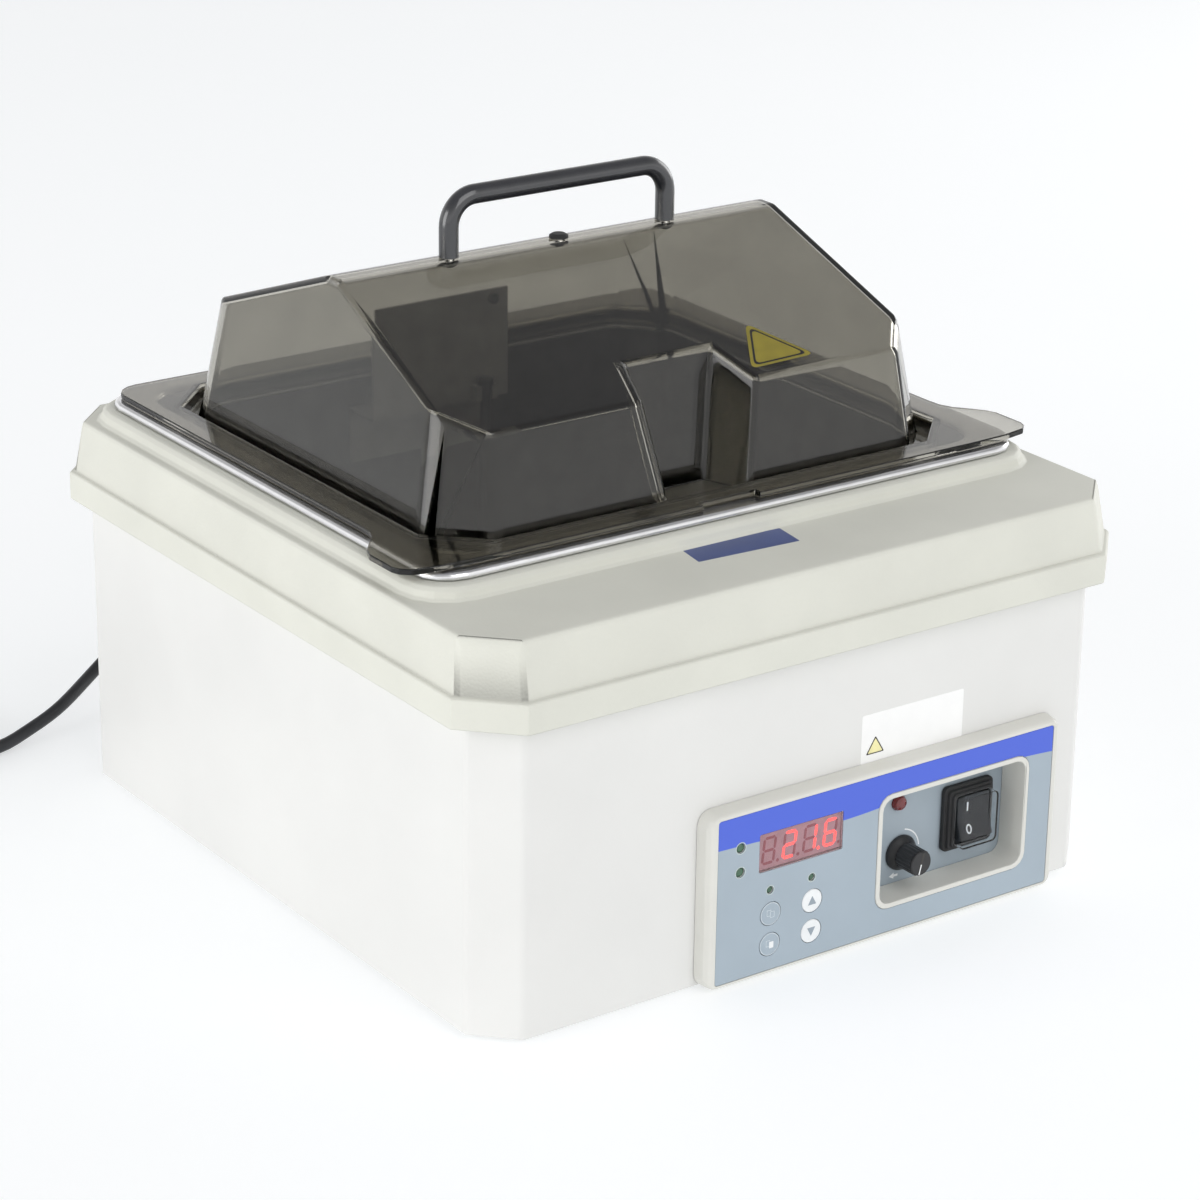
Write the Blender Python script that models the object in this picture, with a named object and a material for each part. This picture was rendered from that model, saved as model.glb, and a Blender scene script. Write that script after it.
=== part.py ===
"""Heated laboratory water bath with a smoked gable lid. Sizes are in millimetres and are scaled to metres.

Origin: on the floor, under the middle of the case. X is to the right seen from the front, Y is to the back.
"""

import math

import bmesh
import bpy
from mathutils import Matrix, Vector

MM = 0.001
GAP = 0.3  # between pieces that touch

# Lower case
CASE_HX = 188.0
CASE_HY = 198.3
CASE_CUT = 19.5
CASE_Z0 = 2.0
CASE_TOP = 172.0
CASE_T = 1.5
CASE_LIP = 16.0

# Feet
FOOT_X = CASE_HX - 40.0
FOOT_Y = CASE_HY - 40.3
FOOT_SPOTS = ((-FOOT_X, -FOOT_Y), (FOOT_X, -FOOT_Y), (-FOOT_X, FOOT_Y), (FOOT_X, FOOT_Y))

# Moulded cover
SKIRT_HX = CASE_HX + 10.0
SKIRT_HY = CASE_HY + 9.2
SKIRT_CUT = CASE_CUT + 5.7
SKIRT_Z = CASE_TOP - 11.6
STEP_Z = CASE_TOP + 4.3
WALL_HX = CASE_HX + 7.0
WALL_HY = CASE_HY + 6.2
WALL_CUT = CASE_CUT + 2.9
DECK_HX = CASE_HX + 3.6
DECK_HY = CASE_HY + 0.7
DECK_CUT = CASE_CUT + 1.3
DECK_Z = CASE_TOP + 31.4
COVER_T = 3.0
RIDGE_Z = DECK_Z + 6.6

# Tank, centred on the opening
OPEN_Y = 22.0
RIM_HX = 178.0
RIM_HY = 160.0
RIM_R = 19.0
RIM_TOP = RIDGE_Z + 4.2
RIM_DROP = 3.6
MOUTH_HX = RIM_HX - 16.7
MOUTH_HY = RIM_HY - 16.0
MOUTH_R = 20.0
TANK_T = 1.0
TANK_FLOOR = RIM_TOP - 149.2

# Lid
FLANGE_HX = RIM_HX - 4.5
FLANGE_FRONT = OPEN_Y - RIM_HY + 5.5
FLANGE_BACK = OPEN_Y + RIM_HY - 2.7
FLANGE_R = 14.0
FLANGE_Z = RIM_TOP + GAP
LID_T = 3.0
FLANGE_TOP = FLANGE_Z + LID_T
TAB_X = RIM_HX + 12.2
TAB_BACK_Y = FLANGE_FRONT + 54.5
TAB_SIDE_Y = (FLANGE_FRONT + 36.5, FLANGE_FRONT + 11.5)
TROUGH_HX = MOUTH_HX - 4.8
TROUGH_HY = MOUTH_HY - 5.0
TROUGH_CUT = 27.0
TROUGH_Z = FLANGE_Z - 5.0
DOME_HX = TROUGH_HX - 6.6
DOME_HY = TROUGH_HY - 8.9
DOME_CUT = 25.0
EAVE_CUT = 18.5  # the corner cut where a wall meets the roof
SIDE_DRAFT = 0.174
END_DRAFT = 0.2
RIDGE_TOP = FLANGE_Z + 95.3
RIDGE_HALF = 5.5
EAVE_Z = {-1: RIDGE_TOP - 46.8, 1: RIDGE_TOP - 41.1}  # front and back
NOTCH_Z = RIDGE_TOP - 41.8  # height at which the sizes of the recess are given
NOTCH_FRONT_HALF = 34.0
NOTCH_FRONT_Y = OPEN_Y - DOME_HY + 8.1
NOTCH_BACK_HALF = 25.2
NOTCH_BACK_Y = NOTCH_FRONT_Y + 26.5
NOTCH_DRAFT = 0.19
NOTCH_REACH = 60.0  # how far the cutting wedge runs out past the front wall
SLOT_X = (-21.0, 13.0)  # drain slot in the front edge of the flange
HANDLE_X = 66.0
HANDLE_R = 5.1
HANDLE_TOP = RIDGE_TOP + 30.2
HANDLE_BEND = 15.0

# Control panel, on the front face
PANEL_X = (-66.3, 147.5)
PANEL_Z = (2.4, 91.9)
PANEL_Y = -CASE_HY - 9.0
PANEL_WALL = 3.4
PANEL_CORNER = 3.4
OVERLAY_X = (-64.0, 145.3)
OVERLAY_Z = (4.0, 90.2)
OVERLAY_T = 0.5
OVERLAY_CORNER = 1.2
OVERLAY_FIT = 0.3
POCKET_X = (33.6, 130.4)
POCKET_Z = (16.8, 78.6)
POCKET_WALL = 2.6
POCKET_BACK = -CASE_HY + 8.3
BOARD_Y = -CASE_HY + 2.5
DISPLAY_X = (-39.1, 11.2)
DISPLAY_Z = (57.4, 77.0)
KEY_R = 6.1
KEY_SPOTS = {
    "key_up": (-6.2, 34.0),
    "key_down": (-6.2, 17.7),
    "key_menu": (-31.6, 34.0),
    "key_set": (-31.6, 17.7),
}
LED_SPOTS = {
    "led_f": (-50.6, 73.4, 2.4),
    "led_c": (-50.6, 60.7, 2.4),
    "led_program": (-32.2, 46.7, 1.8),
    "led_heat": (-6.9, 46.7, 1.8),
}
KNOB_X = 62.8
KNOB_Z = 35.2
KNOB_R = 6.8
KNOB_SKIRT_R = 9.4
KNOB_FRONT = PANEL_Y + 0.5
SAFETY_X = 60.3
SAFETY_Z = 62.9
SAFETY_R = 4.1
SWITCH_X = 103.9
SWITCH_Z = 46.5
BOOT_HX = 12.0
BOOT_HZ = 13.9
ROCKER_PIVOT_Y = POCKET_BACK - 0.9
ROCKER_REST = 9.0  # degrees, pressed in at the top

# Cord
CORD_D = 7.0
CORD_R = CORD_D / 2
CORD_LOW = CORD_R + 0.1  # height of its middle where it lies on the floor
INLET_X = -100.0
INLET_Z = 60.0
RELIEF_LEN = 26.0
COIL_X = -276.0
COIL_Y = 268.0
COIL_MID = 35.0  # radius at the middle of the turns, which lie two across and four high
COIL_TURNS = (2, 4)
COIL_IN = math.radians(-75)
COIL_OUT = math.radians(153.5)
PLUG_Z = 12.7


# ------------------------------------------------------------------ helpers


def clear_scene():
    for obj in list(bpy.data.objects):
        bpy.data.objects.remove(obj, do_unlink=True)


def make_material(name, color, roughness, metallic=0.0, alpha=1.0):
    material = bpy.data.materials.new(name)
    material.use_nodes = True
    shader = material.node_tree.nodes["Principled BSDF"]
    shader.inputs["Base Color"].default_value = (*color, 1.0)
    shader.inputs["Roughness"].default_value = roughness
    shader.inputs["Metallic"].default_value = metallic
    shader.inputs["Alpha"].default_value = alpha
    material.diffuse_color = (*color, alpha)
    material.roughness = roughness
    material.metallic = metallic
    return material


def to_mesh(name, bm):
    """The mesh in metres, from a shape drawn in millimetres."""
    bmesh.ops.remove_doubles(bm, verts=bm.verts, dist=0.0005)
    bmesh.ops.recalc_face_normals(bm, faces=bm.faces)
    bmesh.ops.scale(bm, vec=(MM, MM, MM), verts=bm.verts)
    mesh = bpy.data.meshes.new(name)
    bm.to_mesh(mesh)
    bm.free()
    return mesh


def add_node(name, bm, look, origin=(0.0, 0.0, 0.0)):
    """One named piece with its own material; origin is in millimetres."""
    offset = Vector(origin)
    bmesh.ops.translate(bm, vec=-offset, verts=bm.verts)
    obj = bpy.data.objects.new(name, to_mesh(name, bm))
    obj.location = offset * MM
    obj.data.materials.append(make_material(name, *look))
    bpy.context.scene.collection.objects.link(obj)
    return obj


def combine(base, tool, operation):
    """Boolean of two shapes with the exact solver; both inputs are used up."""
    made = []
    for label, bm in (("base", base), ("tool", tool)):
        bmesh.ops.recalc_face_normals(bm, faces=bm.faces)
        mesh = bpy.data.meshes.new("work_" + label)
        bm.to_mesh(mesh)
        bm.free()
        obj = bpy.data.objects.new("work_" + label, mesh)
        bpy.context.scene.collection.objects.link(obj)
        made.append(obj)
    modifier = made[0].modifiers.new("work", "BOOLEAN")
    modifier.operation = operation
    modifier.solver = "EXACT"
    modifier.object = made[1]
    graph = bpy.context.evaluated_depsgraph_get()
    evaluated = made[0].evaluated_get(graph)
    result = bmesh.new()
    result.from_mesh(evaluated.to_mesh())
    evaluated.to_mesh_clear()
    for obj in made:
        mesh = obj.data
        bpy.data.objects.remove(obj, do_unlink=True)
        bpy.data.meshes.remove(mesh)
    return result


def join(base, tool):
    return combine(base, tool, "UNION")


def cut(base, tool):
    return combine(base, tool, "DIFFERENCE")


def outline(hx, hy, corner, points=5, rounded=False, cx=0.0, cy=0.0):
    """Points of a rectangle with chamfered or rounded corners, anticlockwise."""
    result = []
    for quarter, (sx, sy) in enumerate(((1, 1), (-1, 1), (-1, -1), (1, -1))):
        for step in range(points):
            share = step / (points - 1)
            if quarter % 2:
                share = 1 - share
            if rounded:
                angle = share * math.pi / 2
                dx = corner * (1 - math.cos(angle))
                dy = corner * (1 - math.sin(angle))
            else:
                dx = corner * share
                dy = corner * (1 - share)
            result.append((cx + sx * (hx - dx), cy + sy * (hy - dy)))
    return result


def rect(x_span, y_span, radius, points=5):
    """A rounded rectangle given by its two spans."""
    return outline(
        (x_span[1] - x_span[0]) / 2,
        (y_span[1] - y_span[0]) / 2,
        radius,
        points,
        True,
        (x_span[0] + x_span[1]) / 2,
        (y_span[0] + y_span[1]) / 2,
    )


def circle(radius, segments, cx=0.0, cy=0.0):
    step = 2 * math.pi / segments
    return [(cx + radius * math.cos(step * i), cy + radius * math.sin(step * i)) for i in range(segments)]


def flat_ring(points, z):
    return [(x, y, z) for x, y in points]


def upright_ring(points, y):
    """A ring in the plane of the front panel: points are x and z."""
    return [(x, y, z) for x, z in points]


def loft(rings, closed=False):
    """Skin through rings of equal count; the ends are capped, or joined to each other when closed."""
    bm = bmesh.new()
    rows = [[bm.verts.new(point) for point in ring] for ring in rings]
    count = len(rows[0])
    pairs = list(zip(rows, rows[1:]))
    if closed:
        pairs.append((rows[-1], rows[0]))
    for lower, upper in pairs:
        for i in range(count):
            j = (i + 1) % count
            bm.faces.new((lower[i], lower[j], upper[j], upper[i]))
    if not closed:
        bm.faces.new(rows[0])
        bm.faces.new(list(reversed(rows[-1])))
    bmesh.ops.recalc_face_normals(bm, faces=bm.faces)
    return bm


def box(x_span, y_span, z_span):
    (x0, x1), (y0, y1) = x_span, y_span
    points = [(x0, y0), (x1, y0), (x1, y1), (x0, y1)]
    return loft([flat_ring(points, z) for z in z_span])


def slab(points, z_span):
    return loft([flat_ring(points, z) for z in z_span])


def plate(points, y_span):
    return loft([upright_ring(points, y) for y in y_span])


def hull(points):
    bm = bmesh.new()
    for point in points:
        bm.verts.new(point)
    made = bmesh.ops.convex_hull(bm, input=bm.verts)
    spare = set(made["geom_interior"]) | set(made["geom_unused"])
    loose = [item for item in spare if isinstance(item, bmesh.types.BMVert)]
    bmesh.ops.delete(bm, geom=loose, context="VERTS")
    bmesh.ops.dissolve_limit(bm, angle_limit=0.002, verts=bm.verts, edges=bm.edges)
    bmesh.ops.recalc_face_normals(bm, faces=bm.faces)
    return bm


def turned(profile, segments, axis_point, axis="Z"):
    """A solid of revolution; profile is (radius, height along the axis) from one end to the other."""
    rings = []
    for radius, height in profile:
        points = circle(radius, segments)
        if axis == "Z":
            rings.append([(axis_point[0] + a, axis_point[1] + b, height) for a, b in points])
        elif axis == "Y":
            rings.append([(axis_point[0] + a, height, axis_point[1] + b) for a, b in points])
        else:
            rings.append([(height, axis_point[0] + a, axis_point[1] + b) for a, b in points])
    return loft(rings)


def smooth_path(points, spacing):
    """Points about one spacing apart along a smooth curve through the given ones."""
    knots = [Vector(p) for p in points]
    knots = [2 * knots[0] - knots[1], *knots, 2 * knots[-1] - knots[-2]]
    dense = []
    for a, b, c, d in zip(knots, knots[1:], knots[2:], knots[3:]):
        for step in range(40):
            t = step / 40
            curve = 2 * b + (c - a) * t + (2 * a - 5 * b + 4 * c - d) * t**2 + (3 * b - a - 3 * c + d) * t**3
            dense.append(0.5 * curve)
    dense.append(knots[-2])
    total = sum((q - p).length for p, q in zip(dense, dense[1:]))
    count = max(2, round(total / spacing))
    result = [dense[0]]
    walked = 0.0
    for p, q in zip(dense, dense[1:]):
        length = (q - p).length
        while len(result) < count and walked + length >= total * len(result) / count:
            share = (total * len(result) / count - walked) / length
            result.append(p.lerp(q, share))
        walked += length
    result.append(dense[-1])
    return result


def tube(name, points, radius, look, resolution=2):
    """A round tube along points, as a curve with filled ends."""
    curve = bpy.data.curves.new(name, "CURVE")
    curve.dimensions = "3D"
    curve.bevel_depth = radius * MM
    curve.bevel_resolution = resolution
    curve.use_fill_caps = True
    spline = curve.splines.new("POLY")
    spline.points.add(len(points) - 1)
    for spot, point in zip(spline.points, points):
        spot.co = (point[0] * MM, point[1] * MM, point[2] * MM, 1.0)
    obj = bpy.data.objects.new(name, curve)
    obj.data.materials.append(make_material(name, *look))
    bpy.context.scene.collection.objects.link(obj)
    return obj


# ------------------------------------------------------------------ finishes

CASE_PAINT = ((0.80, 0.79, 0.74), 0.45)
COVER_PLASTIC = ((0.72, 0.70, 0.62), 0.6)
STEEL = ((0.75, 0.75, 0.76), 0.25, 1.0)
ZINC = ((0.62, 0.63, 0.64), 0.4, 1.0)
BRASS = ((0.80, 0.65, 0.35), 0.3, 1.0)
SMOKED = ((0.10, 0.10, 0.08), 0.05, 0.0, 0.45)
BLACK_GLOSS = ((0.02, 0.02, 0.02), 0.15)
BLACK_MATT = ((0.03, 0.03, 0.03), 0.5)
RUBBER = ((0.03, 0.03, 0.03), 0.8)
WHITE_PLASTIC = ((0.85, 0.85, 0.85), 0.4)
BOARD_GREEN = ((0.03, 0.22, 0.10), 0.5)
OVERLAY_GREY = ((0.48, 0.55, 0.60), 0.35)
RED_FILTER = ((0.45, 0.05, 0.05), 0.1, 0.0, 0.8)
FIBRE = ((0.75, 0.72, 0.55), 0.9)
SILICONE_RED = ((0.55, 0.15, 0.08), 0.6)
LAMINATE = ((0.30, 0.30, 0.30), 0.5, 0.5)


# ------------------------------------------------------------------ body


def cover_ring(hx, hy, corner, z, cy=0.0, rounded=False):
    return flat_ring(outline(hx, hy, corner, 5, rounded, 0.0, cy), z)


def build_lower_case():
    inner_cut = CASE_CUT - 0.6 * CASE_T
    lip_cut = CASE_CUT - 0.6 * CASE_LIP
    inner = (CASE_HX - CASE_T, CASE_HY - CASE_T, inner_cut)
    lip = (CASE_HX - CASE_LIP, CASE_HY - CASE_LIP, lip_cut)
    rings = [
        cover_ring(CASE_HX - 0.8, CASE_HY - 0.8, CASE_CUT, CASE_Z0),
        cover_ring(CASE_HX, CASE_HY, CASE_CUT, CASE_Z0 + 0.8),
        cover_ring(CASE_HX, CASE_HY, CASE_CUT, CASE_TOP),
        cover_ring(*inner, CASE_TOP),
        cover_ring(*inner, CASE_Z0 + CASE_T),
        cover_ring(*lip, CASE_Z0 + CASE_T),
        cover_ring(*lip, CASE_Z0),
    ]
    body = loft(rings, closed=True)
    wall = (-CASE_HY - 3, -CASE_HY + 3)
    body = cut(body, plate(rect((-60, 134), (9, 86), 4, 3), wall))
    back = (CASE_HY - 3, CASE_HY + 3)
    body = cut(body, turned([(7.2, back[0]), (7.2, back[1])], 16, (INLET_X, INLET_Z), "Y"))
    for i in range(9):
        x = -20 + 16 * i
        body = cut(body, box((x, x + 5), back, (100, 140)))
    add_node("lower_case", body, CASE_PAINT)


def build_base_plate():
    hx = CASE_HX - CASE_T - 1.0
    hy = CASE_HY - CASE_T - 1.0
    z0 = CASE_Z0 + CASE_T + GAP
    base = slab(outline(hx, hy, CASE_CUT, 2), (z0, z0 + 1.5))
    for side in (-1, 1):
        for i in range(5):
            x = side * (40 + 18 * i)
            base = cut(base, box((x - 3, x + 3), (70, 130), (z0 - 2, z0 + 4)))
    add_node("base_plate", base, ZINC)
    for i, (x, y) in enumerate(FOOT_SPOTS):
        foot = turned([(10.0, 0.0), (11.0, 1.0), (11.0, z0 - GAP)], 16, (x, y))
        add_node(f"foot_{i + 1}", foot, RUBBER)


def build_top_cover():
    y = OPEN_Y
    fit = CASE_HX + 0.4
    fit_y = CASE_HY + 0.4
    rings = [
        cover_ring(SKIRT_HX - 0.5, SKIRT_HY - 0.5, SKIRT_CUT, SKIRT_Z),
        cover_ring(SKIRT_HX, SKIRT_HY, SKIRT_CUT, SKIRT_Z + 0.6),
        cover_ring(SKIRT_HX, SKIRT_HY, SKIRT_CUT, STEP_Z - 1.2),
        cover_ring(SKIRT_HX - 1.2, SKIRT_HY - 1.2, SKIRT_CUT, STEP_Z),
        cover_ring(WALL_HX, WALL_HY, WALL_CUT, STEP_Z),
        cover_ring(DECK_HX + 0.2, DECK_HY + 0.3, DECK_CUT, DECK_Z - 2.0),
        cover_ring(DECK_HX - 0.6, DECK_HY - 0.6, DECK_CUT, DECK_Z - 0.6),
        cover_ring(DECK_HX - 2.4, DECK_HY - 2.4, DECK_CUT - 0.6, DECK_Z),
        cover_ring(RIM_HX + 9.0, RIM_HY + 9.0, 27, DECK_Z, y, True),
        cover_ring(RIM_HX + 7.2, RIM_HY + 7.2, 25, DECK_Z + 1.4, y, True),
        cover_ring(RIM_HX + 6.2, RIM_HY + 6.2, 24, RIDGE_Z - 2.4, y, True),
        cover_ring(RIM_HX + 4.4, RIM_HY + 4.4, 22.5, RIDGE_Z - 0.6, y, True),
        cover_ring(RIM_HX + 2.2, RIM_HY + 2.2, 21, RIDGE_Z, y, True),
        cover_ring(MOUTH_HX + 3.2, MOUTH_HY + 3.2, 22, RIDGE_Z, y, True),
        cover_ring(MOUTH_HX + 3.2, MOUTH_HY + 3.2, 22, RIDGE_Z - COVER_T, y, True),
        cover_ring(RIM_HX + 2.4, RIM_HY + 2.4, 21, RIDGE_Z - COVER_T, y, True),
        cover_ring(RIM_HX + 3.8, RIM_HY + 3.8, 22, DECK_Z - COVER_T, y, True),
        cover_ring(DECK_HX - 3.4, DECK_HY - 3.4, DECK_CUT - 1, DECK_Z - COVER_T),
        cover_ring(WALL_HX - 3.2, WALL_HY - 3.2, WALL_CUT - 1, STEP_Z - 1.0),
        cover_ring(CASE_HX - 3.5, CASE_HY - 3.5, CASE_CUT - 1.5, STEP_Z - 1.0),
        cover_ring(CASE_HX - 3.5, CASE_HY - 3.5, CASE_CUT - 1.5, CASE_TOP + GAP),
        cover_ring(fit, fit_y, CASE_CUT, CASE_TOP + GAP),
        cover_ring(fit, fit_y, CASE_CUT, SKIRT_Z),
    ]
    add_node("top_cover", loft(rings, closed=True), COVER_PLASTIC)


def tank_ring(grow, corner, z, inset=0.0):
    return flat_ring(
        outline(MOUTH_HX + grow - inset, MOUTH_HY + grow - inset, corner, 5, True, 0.0, OPEN_Y), z
    )


def rim_ring(inset, z):
    points = outline(RIM_HX - inset, RIM_HY - inset, RIM_R - 0.6 * inset, 5, True, 0.0, OPEN_Y)
    return flat_ring(points, z)


def build_tank():
    t = TANK_T
    low = RIM_TOP - RIM_DROP
    rings = [
        tank_ring(-12.0, 18, TANK_FLOOR),
        tank_ring(-5.5, 21, TANK_FLOOR + 2.5),
        tank_ring(-1.6, 21, TANK_FLOOR + 12),
        tank_ring(0.0, MOUTH_R, RIM_TOP - 3),
        tank_ring(0.9, MOUTH_R, RIM_TOP - 0.8),
        tank_ring(2.8, MOUTH_R + 1, RIM_TOP),
        rim_ring(2.2, RIM_TOP),
        rim_ring(0.6, RIM_TOP - 0.7),
        rim_ring(0.0, RIM_TOP - 2.0),
        rim_ring(0.0, low),
        rim_ring(t, low),
        rim_ring(t, RIM_TOP - 2.0),
        rim_ring(2.6, RIM_TOP - t),
        tank_ring(3.0, MOUTH_R + 1, RIM_TOP - t),
        tank_ring(t, MOUTH_R, RIM_TOP - 3),
        tank_ring(t - 1.6, 21, TANK_FLOOR + 12),
        tank_ring(t - 5.0, 21, TANK_FLOOR + 1.8),
        tank_ring(t - 12.0, 18, TANK_FLOOR - t),
    ]
    add_node("tank", loft(rings), STEEL)
    low_wrap = TANK_FLOOR + 15
    high_wrap = RIM_TOP - 18.2
    wrap = [
        tank_ring(-0.1, 21, low_wrap),
        tank_ring(16.0, 30, low_wrap),
        tank_ring(16.0, 30, high_wrap),
        tank_ring(1.3, 20, high_wrap),
    ]
    add_node("tank_insulation", loft(wrap, closed=True), FIBRE)


def build_heater():
    under = TANK_FLOOR - TANK_T - GAP
    add_node("heater_pad", box((-126, 126), (-84, 128), (under - 3.0, under)), SILICONE_RED)
    low = under - 3.0 - GAP
    clamp = box((-118, 118), (-76, 120), (low - 1.5, low))
    for y in (-30, 74):
        clamp = join(clamp, box((-118, 118), (y - 2, y + 2), (low - 5, low - 0.7)))
    add_node("heater_clamp", clamp, ZINC)
    floor = CASE_Z0 + CASE_T + GAP + 1.5 + GAP
    top = low - 1.5 - GAP
    for name, y in (("tank_support_front", -58), ("tank_support_back", 102)):
        leg = box((-96, 96), (y - 0.8, y + 0.8), (floor, top))
        leg = join(leg, box((-96, 96), (y - 0.8, y + 14), (floor, floor + 1.6)))
        leg = join(leg, box((-96, 96), (y - 0.8, y + 14), (top - 1.6, top)))
        for x in (-55, 0, 55):
            leg = cut(leg, box((x - 15, x + 15), (y - 3, y + 3), (floor + 14, top - 14)))
        add_node(name, leg, ZINC)


# ------------------------------------------------------------------ lid


def lid_half(z):
    return DOME_HX - SIDE_DRAFT * (z - FLANGE_TOP), DOME_HY - END_DRAFT * (z - FLANGE_TOP)


def dome_solid(inset, base_z):
    """Gable solid from base_z to the ridge, all faces moved in by inset. The back roof is the flatter."""
    top = RIDGE_TOP - inset
    points = []
    for side_y, eave in EAVE_Z.items():
        slope = (RIDGE_TOP - eave) / (lid_half(eave)[1] - RIDGE_HALF)
        half = RIDGE_HALF - inset * math.tan(math.atan(slope) / 2)
        for side_x in (-1, 1):
            points.append((side_x * (lid_half(top)[0] - inset), OPEN_Y + side_y * half, top))
            for corner, at_roof in ((DOME_CUT, False), (EAVE_CUT, True)):
                size = corner - 0.58 * inset
                for dx, dy in ((size, 0), (0, size)):
                    level = roof_level(inset, half, top, slope, dy) if at_roof else base_z
                    hx, hy = lid_half(level)
                    x = side_x * (hx - inset - dx)
                    points.append((x, OPEN_Y + side_y * (hy - inset - dy), level))
    return hull(points)


def roof_level(inset, half, top, slope, back):
    """Height at which the sloping roof meets the end wall, or a line set back from it."""
    reach = DOME_HY - inset - back + END_DRAFT * FLANGE_TOP
    return (top - slope * (reach - half)) / (1 - slope * END_DRAFT)


def notch_wedge(grow, base_z):
    """The recess in the middle of the front wall, wider at the mouth and at the top."""
    flare = (NOTCH_FRONT_HALF - NOTCH_BACK_HALF) / (NOTCH_BACK_Y - NOTCH_FRONT_Y)
    mouth_half = NOTCH_FRONT_HALF + flare * NOTCH_REACH
    points = []
    for z in (base_z, RIDGE_TOP + 20):
        rise = z - NOTCH_Z
        back = NOTCH_BACK_Y + END_DRAFT * rise + grow
        for y, half in ((back, NOTCH_BACK_HALF), (NOTCH_FRONT_Y - NOTCH_REACH, mouth_half)):
            wide = half + NOTCH_DRAFT * rise + grow
            points += [(-wide, y, z), (wide, y, z)]
    return hull(points)


def flange_outline():
    """The flange with a lifting tab out past each front corner."""
    hx = FLANGE_HX
    right = [
        (40.0, FLANGE_FRONT),
        (150.0, FLANGE_FRONT),
        (170.0, FLANGE_FRONT + 0.6),
        (TAB_X - 6.0, FLANGE_FRONT + 3.2),
        (TAB_X - 1.4, FLANGE_FRONT + 7.6),
        (TAB_X, TAB_SIDE_Y[1]),
        (TAB_X, TAB_SIDE_Y[0] - 6),
        (TAB_X - 2.2, TAB_SIDE_Y[0]),
        (TAB_X - 6.5, TAB_SIDE_Y[0] + 5.5),
        (hx + 3.5, TAB_BACK_Y - 4.5),
        (hx + 0.6, TAB_BACK_Y + 2.0),
        (hx, TAB_BACK_Y + 10.0),
    ]
    for step in range(5):
        angle = step * math.pi / 8
        x = hx - FLANGE_R * (1 - math.cos(angle))
        right.append((x, FLANGE_BACK - FLANGE_R * (1 - math.sin(angle))))
    left = [(-x, y) for x, y in reversed(right)]
    return right + left


def build_lid():
    under = TROUGH_Z - LID_T
    body = slab(flange_outline(), (FLANGE_Z, FLANGE_TOP))
    wide = outline(TROUGH_HX + LID_T, TROUGH_HY + LID_T, TROUGH_CUT, 2, False, 0.0, OPEN_Y)
    body = join(body, slab(wide, (under, FLANGE_TOP - 0.5)))
    channel = outline(TROUGH_HX, TROUGH_HY, TROUGH_CUT - 1, 2, False, 0.0, OPEN_Y)
    body = cut(body, slab(channel, (TROUGH_Z, FLANGE_TOP + 20)))
    dome = cut(dome_solid(0.0, TROUGH_Z - 1.0), notch_wedge(0.0, TROUGH_Z - 20))
    body = join(body, dome)
    hollow = cut(dome_solid(LID_T, under - 5), notch_wedge(LID_T, under - 20))
    body = cut(body, hollow)
    slot_y = (FLANGE_FRONT - 5, FLANGE_FRONT + 4.5)
    body = cut(body, box(SLOT_X, slot_y, (FLANGE_Z - 2, FLANGE_TOP + 2)))
    for x, radius in ((-HANDLE_X, 2.6), (HANDLE_X, 2.6), (0.0, 2.8)):
        drill = turned([(radius, RIDGE_TOP - 12), (radius, RIDGE_TOP + 5)], 12, (x, OPEN_Y))
        body = cut(body, drill)
    add_node("lid", body, SMOKED)


def build_lid_fittings():
    foot = RIDGE_TOP + GAP
    path = [(-HANDLE_X, OPEN_Y, foot)]
    bend_z = HANDLE_TOP - HANDLE_BEND
    for side, start in ((-1, math.pi), (1, math.pi / 2)):
        for step in range(7):
            angle = start - step * math.pi / 12
            x = side * (HANDLE_X - HANDLE_BEND) + HANDLE_BEND * math.cos(angle)
            path.append((x, OPEN_Y, bend_z + HANDLE_BEND * math.sin(angle)))
    path.append((HANDLE_X, OPEN_Y, foot))
    tube("lid_handle", path, HANDLE_R, BLACK_GLOSS, 3)
    inner = RIDGE_TOP - LID_T - GAP
    for name, x in (("handle_screw_left", -HANDLE_X), ("handle_screw_right", HANDLE_X)):
        profile = [(2.6, inner - 2.8), (4.0, inner - 1.6), (4.0, inner), (2.2, inner), (2.2, RIDGE_TOP)]
        add_node(name, turned(profile, 12, (x, OPEN_Y)), ZINC)
    profile = [
        (1.6, inner - 2.4),
        (2.4, inner - 1.0),
        (2.4, foot),
        (5.0, foot),
        (5.0, foot + 1.2),
        (3.4, foot + 2.2),
    ]
    add_node("vent_plug", turned(profile, 16, (0.0, OPEN_Y)), BLACK_MATT)


# ------------------------------------------------------------------ things in the tank


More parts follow.
